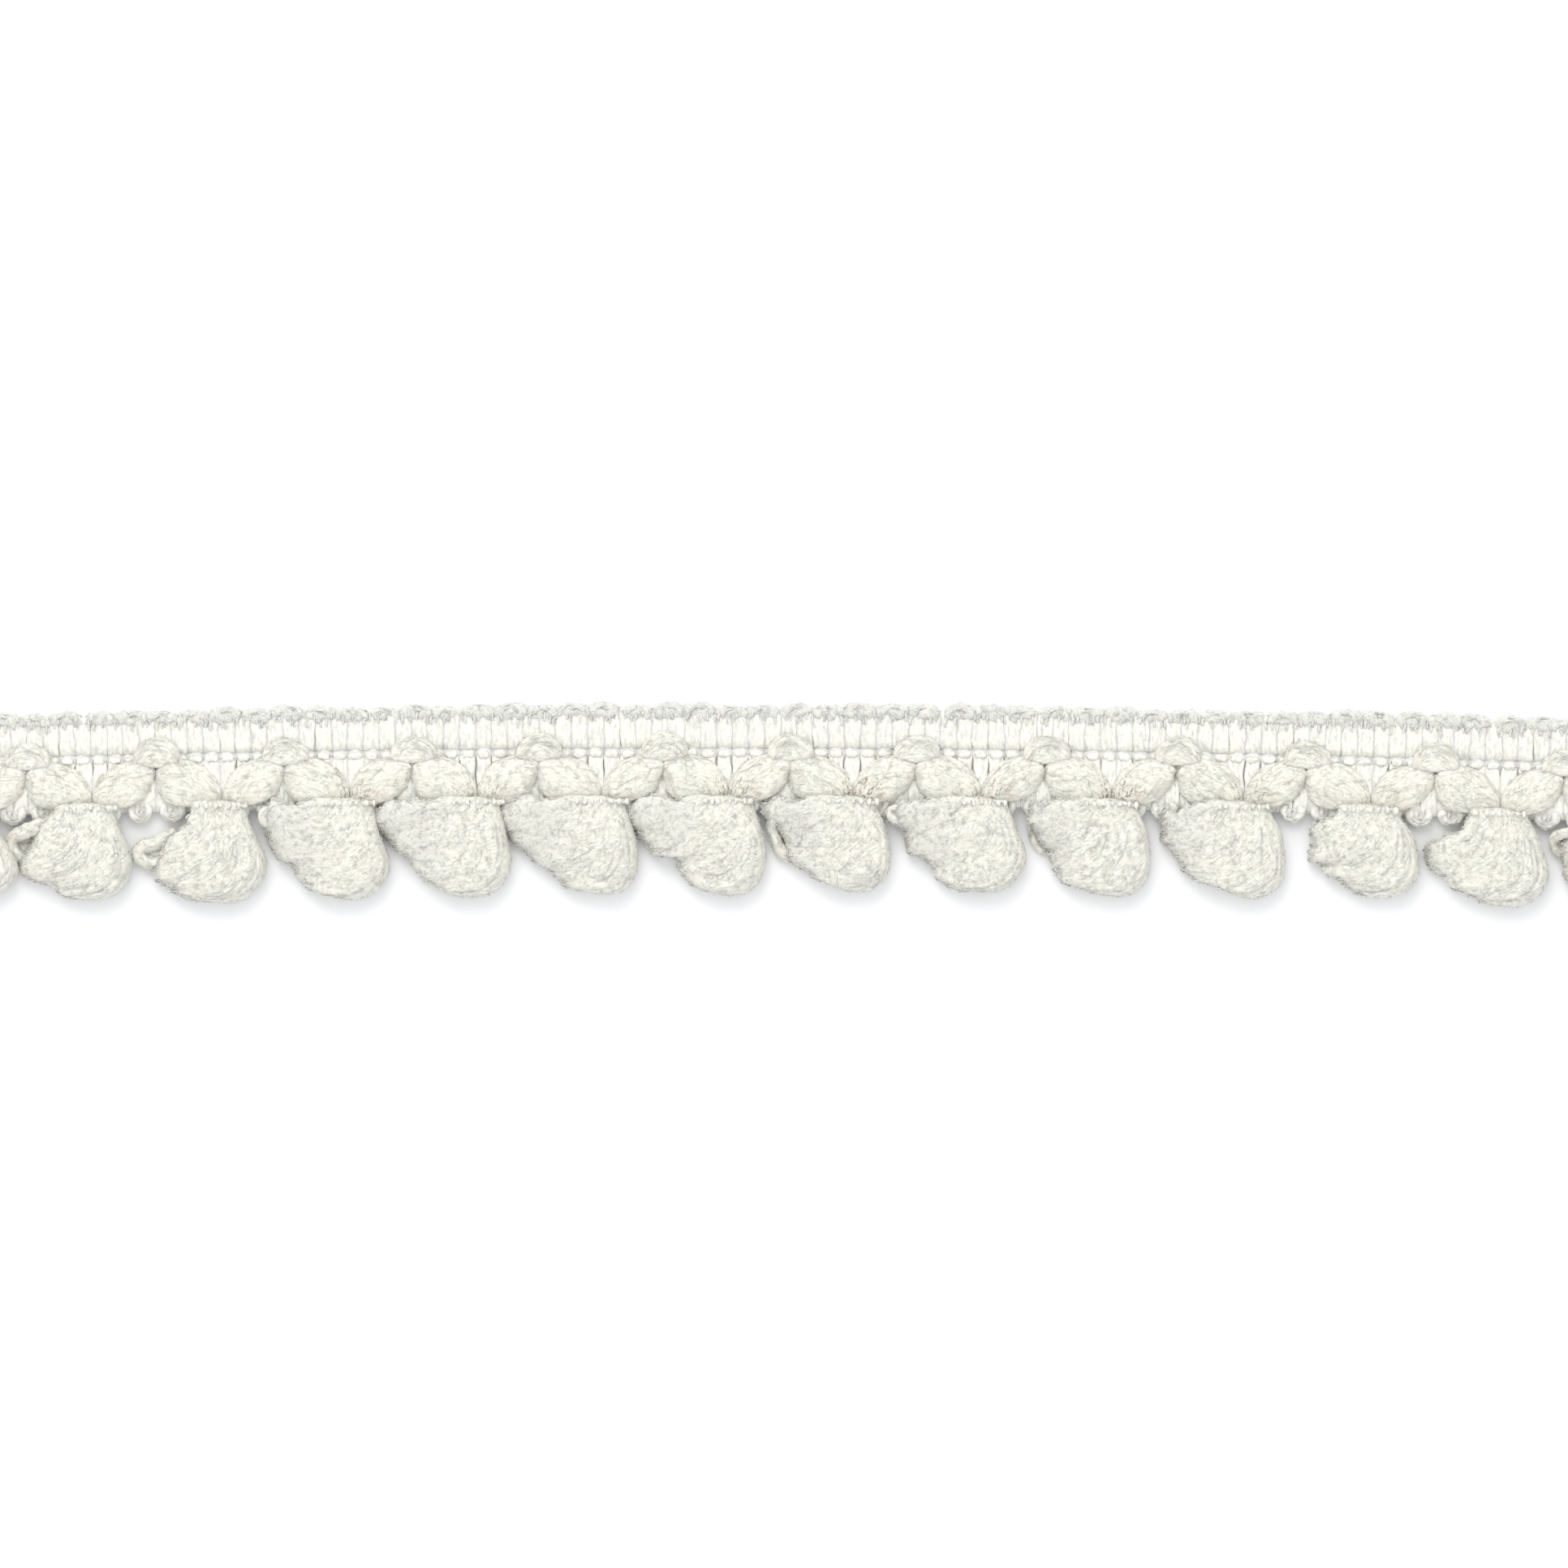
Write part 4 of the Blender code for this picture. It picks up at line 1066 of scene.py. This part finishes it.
# How far in from the rim the underside curls, as a share of the way across, and how high it is there
CURL = ((0.005, 0.22), (0.030, 0.12), (0.085, 0.02))
UNDERSIDE = (0.86, 0.72, 0.58, 0.44, 0.30, 0.16)
# The share of its full thickness that a tassel has at its very rim
RIM_SHARE = 0.32
LOCKS = 7
LOOP_STEPS = 30
LOOP_ROUND = 18
LOOP_RELIEFS = ((0.9, 2.0, 0.22), (0.42, 1.2, 0.18))
FILL_RELIEFS = ((0.5, 1.5, 0.15),)


def traced(points, at, steps=160):
    """Places at those shares of the length of a smooth line through points."""
    fine = smooth_through(points, steps)
    far = run_of(np.hypot(*np.diff(fine, axis=0).T))
    at = np.asarray(at) * far[-1]
    return np.stack([np.interp(at, far, fine[:, k]) for k in (0, 1)], -1)


def fan(index, a, t):
    """Places on a tassel from its neck, in mm, filled in between its four edges. a runs from the
    left wing to the right cheek, t from the root to the tip."""
    upper, ragged, cheek = TASSEL_RIMS[index]
    first, last, corner, toe = map(np.array, (ROOT_LEFT, ROOT_RIGHT, ragged[0], ragged[-1]))
    root = first + (last - first) * np.stack([a, a**2], -1)
    left = traced((first, *upper, corner), t)
    right = traced((last, *cheek, toe), t)
    tip = traced(ragged, a)
    a, t = a[..., None], t[..., None]
    corners = (1 - a) * ((1 - t) * first + t * corner) + a * ((1 - t) * last + t * toe)
    return (1 - t) * root + t * tip + (1 - a) * left + a * right - corners


def resting(down):
    """How high the underside of a tassel is at a place down from its neck: on the heading's edge,
    and then on what the trim lies on."""
    clear = WIDTH + 0.3 - NECK_DOWN
    return HEAD_BASE * (1 - np.clip((down - clear) / 1.6, 0, 1))


def rounded(distance, radius):
    """How much of its full thickness a soft edge has at that distance from the rim."""
    share = 1 - np.clip(distance / radius, 0, 1)
    return np.sqrt(np.maximum(1 - share**2, 0))


def lock_relief(u, v, a, t, from_right, seed):
    """How far a tassel's surface stands out at a place, by its locks, lumps and fine folds."""
    ridge = abs(math.sin(math.pi * LOCKS * (a + 0.06 * lump(u, v, 3.2, seed)) + seed)) - 0.65
    firm = max(0.0, a - 0.35) * (0.5 + max(0.0, lump(u, v, 4.0, seed + 9) + 0.5))
    below_neck = max(0.0, t - 0.12)
    shift = 0.16 * firm * ridge * min(1, below_neck * 4)
    # A groove sets off the outermost loop of the right cheek
    off = from_right - 1.25 - 0.3 * lump(u, v, 3.0, seed)
    shift -= 0.30 * math.exp(-((off / 0.22) ** 2)) * min(1, below_neck * 5) * (t < 0.9)
    shift += 0.22 * lump(u, v, 2.4, seed + 2) + 0.06 * lump(u, v, 0.95, seed + 4)
    # The folds run with the locks, from the neck to the rim
    return shift + 0.11 * lump(a * 11.0, t * 2.2, 0.36, seed + 6)


def tuft_skin(index):
    """A tassel's body, as rings across it from the root to the tip, with its rim curled under."""
    neck = neck_along(index)
    seed = index + 1
    even = np.linspace(0, 1, TUFT_STEPS)
    t = np.concatenate([1 - (1 - even) ** 1.15, [1 - inward for inward, _ in CURL]])
    half = (1 - np.cos(np.linspace(0, np.pi, TUFT_COLUMNS))) / 2
    over = 0.4 * half + 0.6 * np.linspace(0, 1, TUFT_COLUMNS)
    under = [
        *(1 - inward for inward, _ in CURL), *UNDERSIDE, *(inward for inward, _ in CURL[::-1]),
    ]
    a = np.concatenate([over, under])
    grid_a, grid_t = np.meshgrid(a, t)
    grid_t[:, TUFT_COLUMNS + len(CURL):-len(CURL)] *= 0.80
    # The rim is uneven: each loop ends at its own length
    short = np.array([
        0.01 + 0.045 * lump(v * 9.0, 0.0, 1.0, seed) + 0.026 * lump(v * 26.0, 0.0, 1.0, seed + 5)
        for v in a
    ])
    bitten = np.array([0.035 + 0.07 * lump(v * 7.0, 0.0, 1.0, seed + 8) for v in t])
    grid_a = grid_a + bitten[:, None] * np.exp(-grid_a / 0.07)
    places = fan(index, grid_a, grid_t * (1 - short * (1 - 0.75 * a)))
    x, down = places[..., 0], places[..., 1]
    plain = fan(index, grid_a, grid_t)
    length = np.linalg.norm(np.diff(plain, axis=0), axis=2).sum(axis=0)[None, :]
    edges = fan(index, *np.meshgrid([0.0, 1.0], t))
    width = np.linalg.norm(edges[:, 1] - edges[:, 0], axis=-1)[:, None]
    from_tip = (1 - grid_t) * length
    from_left, from_right = grid_a * width, (1 - grid_a) * width
    rest = resting(down)
    rise = np.sin(np.clip(grid_t / 0.4, 0, 1) * np.pi / 2)
    crown = HEAD_TOP + (CROWN_TOP - HEAD_TOP) * rise * (0.35 + 0.75 * grid_a)
    crown -= TIP_DROP * np.clip((grid_t - 0.5) / 0.5, 0, 1) ** 1.5
    edge = rounded(from_tip, TIP_ROUND) * rounded(from_left, WING_ROUND)
    edge = edge * rounded(from_right, CHEEK_ROUND) * rounded(grid_t * length + 0.1, 1.1)
    thick = (crown - rest) * rounded(grid_t * length + 0.02, 1.2)
    height = rest + thick * (RIM_SHARE + (1 - RIM_SHARE) * edge)
    for i in range(TUFT_STEPS):
        for j in range(TUFT_COLUMNS):
            relief = lock_relief(x[i, j], down[i, j], grid_a[i, j], t[i], from_right[i, j], seed)
            height[i, j] += relief * (0.25 + 0.75 * edge[i, j])
    # The curled rim and the underside
    for k, (_, low) in enumerate(CURL):
        height[TUFT_STEPS + k, :TUFT_COLUMNS] = (rest + thick * low)[TUFT_STEPS + k, :TUFT_COLUMNS]
    lows = [low for _, low in CURL] + [0.0] * len(UNDERSIDE) + [low for _, low in CURL[::-1]]
    height[:, TUFT_COLUMNS:] = rest[:, TUFT_COLUMNS:] + thick[:, TUFT_COLUMNS:] * np.array(lows)
    for k, (_, low) in enumerate(CURL):
        row = height[TUFT_STEPS + k]
        row[TUFT_COLUMNS:] = np.minimum(row[TUFT_COLUMNS:], row[:TUFT_COLUMNS].min())
    height = np.maximum(height, rest + 0.05)
    return np.stack([neck + x, NECK_DOWN + down, height], -1)


def loop_skin(neck, half, path, seed):
    """A loose loop of the roving: a thick soft cord that sags onto whatever is under it."""
    line = traced(path, np.linspace(0, 1, LOOP_STEPS))
    run = np.gradient(line, axis=0)
    run /= np.linalg.norm(run, axis=1, keepdims=True)
    side = np.column_stack([run[:, 1], -run[:, 0]])
    turn = np.linspace(0, 2 * np.pi, LOOP_ROUND, endpoint=False)
    thick = half * (1 - 0.35 * np.linspace(-1, 1, LOOP_STEPS) ** 4)
    across = np.cos(turn)[None, :] * thick[:, None]
    flat = line[:, None] + side[:, None] * across[..., None]
    rest = resting(line[:, 1]) + 0.08
    high = rest[:, None] + thick[:, None] * (1.0 + 1.0 * np.sin(turn)[None, :])
    return np.stack([neck + flat[..., 0], NECK_DOWN + flat[..., 1], high], -1)


def tuft_fibres(rings, count, seed):
    """Long fibres that follow the locks down from the neck, more of them on the right cheek."""
    chance = random.Random(seed)
    out = skin_normals(rings)
    last = TUFT_STEPS - 1
    fibres = []
    for _ in range(count):
        start = chance.uniform(0.1, 0.75)
        end = min(0.97, start + chance.uniform(0.12, 0.35))
        s = np.linspace(start, end, 8) * last
        p = chance.uniform(0.0, 1.0) ** 0.4 * (TUFT_COLUMNS - 1)
        bend = chance.uniform(-3.5, 3.5)
        p = np.clip(p + np.linspace(0, bend, 8), 0, TUFT_COLUMNS - 1.01)
        lift = chance.uniform(-0.02, 0.04) + np.array([-DIP, 0, 0.02, 0.03, 0.03, 0.02, 0, -DIP])
        points = on_skin(rings, out, s, p, lift)
        fibres.append((points, chance.uniform(0.6, 1.5), 0.4 + 0.6 * chance.random(), 0.0))
    return fibres


def rim_curls(rings, count, seed):
    """Small bright curls that stick out of the ragged rim."""
    chance = random.Random(seed)
    out = skin_normals(rings)
    curls = []
    for number in range(count):
        p = chance.uniform(0.0, 1.0) ** 1.3 * (TUFT_COLUMNS - 1)
        spread = chance.uniform(0.5, 1.6)
        s = (TUFT_STEPS - 1) * (1 - chance.uniform(0.0, 0.30) ** 2)
        if number % 4 == 0:
            # These stand on the upper edge of the wing
            s, p, spread = (TUFT_STEPS - 1) * chance.uniform(0.15, 0.95), chance.uniform(0.6, 2.2), 0.6
        side, crest = chance.uniform(0.02, 0.20), chance.uniform(0.04, 0.24)
        points = on_skin(
            rings, out,
            np.array([s - 1.5, s, s + 0.3, s, s - 1.5]),
            p + spread * np.array([-1, -0.7, 0, 0.7, 1]),
            np.array([0.0, side, crest, side, 0.0]),
        )
        curls.append((points, chance.uniform(1.0, 2.2), chance.uniform(0.6, 1.0), 0.0))
    return curls


tuft_finish = yarn_finish(
    "brushed tassel loops", (0.75, 0.745, 0.67), (0.53, 0.525, 0.465), (0.71, 0.68, 0.605),
    0.28, 4.0, 0.38, 2.6, 0.05, 0.60, 0.25, "grain",
)
TUFT_FIBRES = 12
RIM_CURLS = 80
for index in range(TASSELS):
    rings = tuft_skin(index)
    # A full wing is greyed a little as painted shade, which is a mark below 0
    painted_wing_shade = np.clip((neck_along(index) - 3.6 - rings[:, :, 0]) / 3.0, 0, 1) * (index in FULL_WINGS)
    skins = [(rings, -painted_wing_shade)]
    strands = tuft_fibres(rings, TUFT_FIBRES, 400 + index) + rim_curls(rings, RIM_CURLS, 500 + index)
    for tassel, half, path in LOOSE_LOOPS:
        if tassel == index:
            loop = loop_skin(neck_along(index), half, path, index)
            skins.append((roughened(loop, LOOP_RELIEFS, 40 + index + len(skins)), 0.0))
            # More yarn fills the loop's eye, lower down
            ends = (np.array(path[0]) + np.array(path[-1])) / 2
            far = max(path, key=lambda place: math.hypot(*(np.array(place) - ends)))
            inner = [tuple(ends + (np.array(far) - ends) * k) for k in (0.0, 0.3, 0.6, 0.86)]
            fill = loop_skin(neck_along(index), half * 1.25, inner, index + 30)
            fill[:, :, 2] = np.minimum(fill[:, :, 2], fill[:, :, 2].min(axis=1)[:, None] + 0.9)
            skins.append((roughened(fill, FILL_RELIEFS, 80 + index + len(skins)), 0.0))
    tuft = brushed_mass(
        f"tassel_loops_{index:02d}", skins, strands,
        fibre_thickness=0.055 * MM, points_per_fibre=6, wander=0.6 * MM, wander_size=0.5 * MM,
        pile_per_square_metre=4.2e6, pile_length=0.50 * MM, pile_thickness=0.045 * MM,
        pile_lift=0.13 * MM, seed=600 + index, finish=tuft_finish,
    )
    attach(tuft, "root")
    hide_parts(f"tassel_{index:02d}")

# The binding. Across each neck the heading's own cotton is stitched over the tassel's head: a cord along
# the head's upper edge, and over it a row of short bright teeth.
TEETH = 7
TOOTH_PITCH = 1.02
CORD_HEIGHT = 2.95
CORD_RELIEFS = ((0.7, 1.0, 0.25), (0.35, 1.0, 0.15))
TOOTH_RELIEFS = ((0.35, 1.0, 0.18),)
CORD_NECK_MARK = 0.4
chance = random.Random(16)
tooth_skins = []
for index in range(TASSELS):
    neck = neck_along(index)
    reach = -6.6 if index in FULL_WINGS else -3.9
    cord = []
    for out in np.linspace(reach, 3.2, 9):
        down = 12.62 + 0.16 * lump(out, index * 3.0, 1.4, 5)
        cord.append((neck + out, down, CORD_HEIGHT - 0.16 * max(0.0, -3.0 - out)))
    skin = cord_skin(cord, 0.36, 0.46, 36, 8, index * 3.7, 0.4)
    tooth_skins.append((roughened(skin, CORD_RELIEFS, index + 700), CORD_NECK_MARK))
    for tooth in range(TEETH):
        x = neck + (tooth - (TEETH - 1) / 2) * TOOTH_PITCH + chance.uniform(-0.15, 0.15)
        lean = chance.uniform(-0.12, 0.12)
        foot = 12.9 + chance.uniform(-0.10, 0.2)
        stitch = [(x, 12.2, 3.4), (x + lean, 12.4, 3.75), (x + lean, 12.65, 3.80), (x, foot, 3.5)]
        skin = cord_skin(stitch, 0.27 * chance.uniform(0.6, 1.3), 0.30, 8, 7, index * 9 + tooth)
        tooth_skins.append((roughened(skin, TOOTH_RELIEFS, index * 9 + tooth), 0.0))
heading_yarn("heading_binding", tooth_skins, [], 2.0e6, 16, float_finish)

# The stand. A plain white floor, a bright pale sky all round, and one wide soft light from the upper left
# that models the forms, with the camera straight above as in the photograph.
VIEW_WIDTH = 0.20035
VIEW_CENTRE = (-0.00156, -0.00311)
CAMERA_HEIGHT = 1.5
SENSOR = 36.0
# The lens frames that width at half the heading's height
FRAMED_HEIGHT = 0.002
FLOOR_HALF = 6
FLOOR_LEVEL = -0.00002
FLOOR_WHITE = (0.80, 0.80, 0.805, 1)
SKY = (0.975, 0.985, 1.0, 1)
SKY_STRENGTH = 1.22
KEY_PLACE = (-0.34, 1.22, 1.28)
KEY_SIZE = 1.2
KEY_POWER = 15.5
KEY_COLOUR = (1.0, 0.99, 0.97)
scene = bpy.context.scene

floor_mesh = bpy.data.meshes.new("floor")
corners = [(x * FLOOR_HALF, y * FLOOR_HALF, 0) for x, y in ((-1, -1), (1, -1), (1, 1), (-1, 1))]
floor_mesh.from_pydata(corners, [], [(0, 1, 2, 3)])
floor = placed("floor", floor_mesh)
floor.location.z = FLOOR_LEVEL
white = bpy.data.materials.new("white floor")
white.use_nodes = True
for slot, value in (("Base Color", FLOOR_WHITE), ("Roughness", 0.9), ("Specular IOR Level", 0.1)):
    white.node_tree.nodes["Principled BSDF"].inputs[slot].default_value = value
floor_mesh.materials.append(white)

world = bpy.data.worlds.new("sky")
scene.world = world
world.use_nodes = True
world.node_tree.nodes["Background"].inputs["Color"].default_value = SKY
world.node_tree.nodes["Background"].inputs["Strength"].default_value = SKY_STRENGTH

# The key light is square, and faces the trim
lamp = bpy.data.lights.new("key", "AREA")
lamp.size = KEY_SIZE
lamp.energy = KEY_POWER
lamp.color = KEY_COLOUR
key = placed("key", lamp)
key.location = KEY_PLACE
key.rotation_euler = (-Vector(KEY_PLACE)).to_track_quat("-Z", "Y").to_euler()

camera_data = bpy.data.cameras.new("camera")
camera_data.sensor_width = SENSOR
camera_data.lens = SENSOR * (CAMERA_HEIGHT - FRAMED_HEIGHT) / VIEW_WIDTH
camera_data.clip_start = 0.1
camera = placed("camera", camera_data)
camera.location = (*VIEW_CENTRE, CAMERA_HEIGHT)
scene.camera = camera
scene.view_settings.view_transform = "Standard"
scene.view_settings.look = "None"
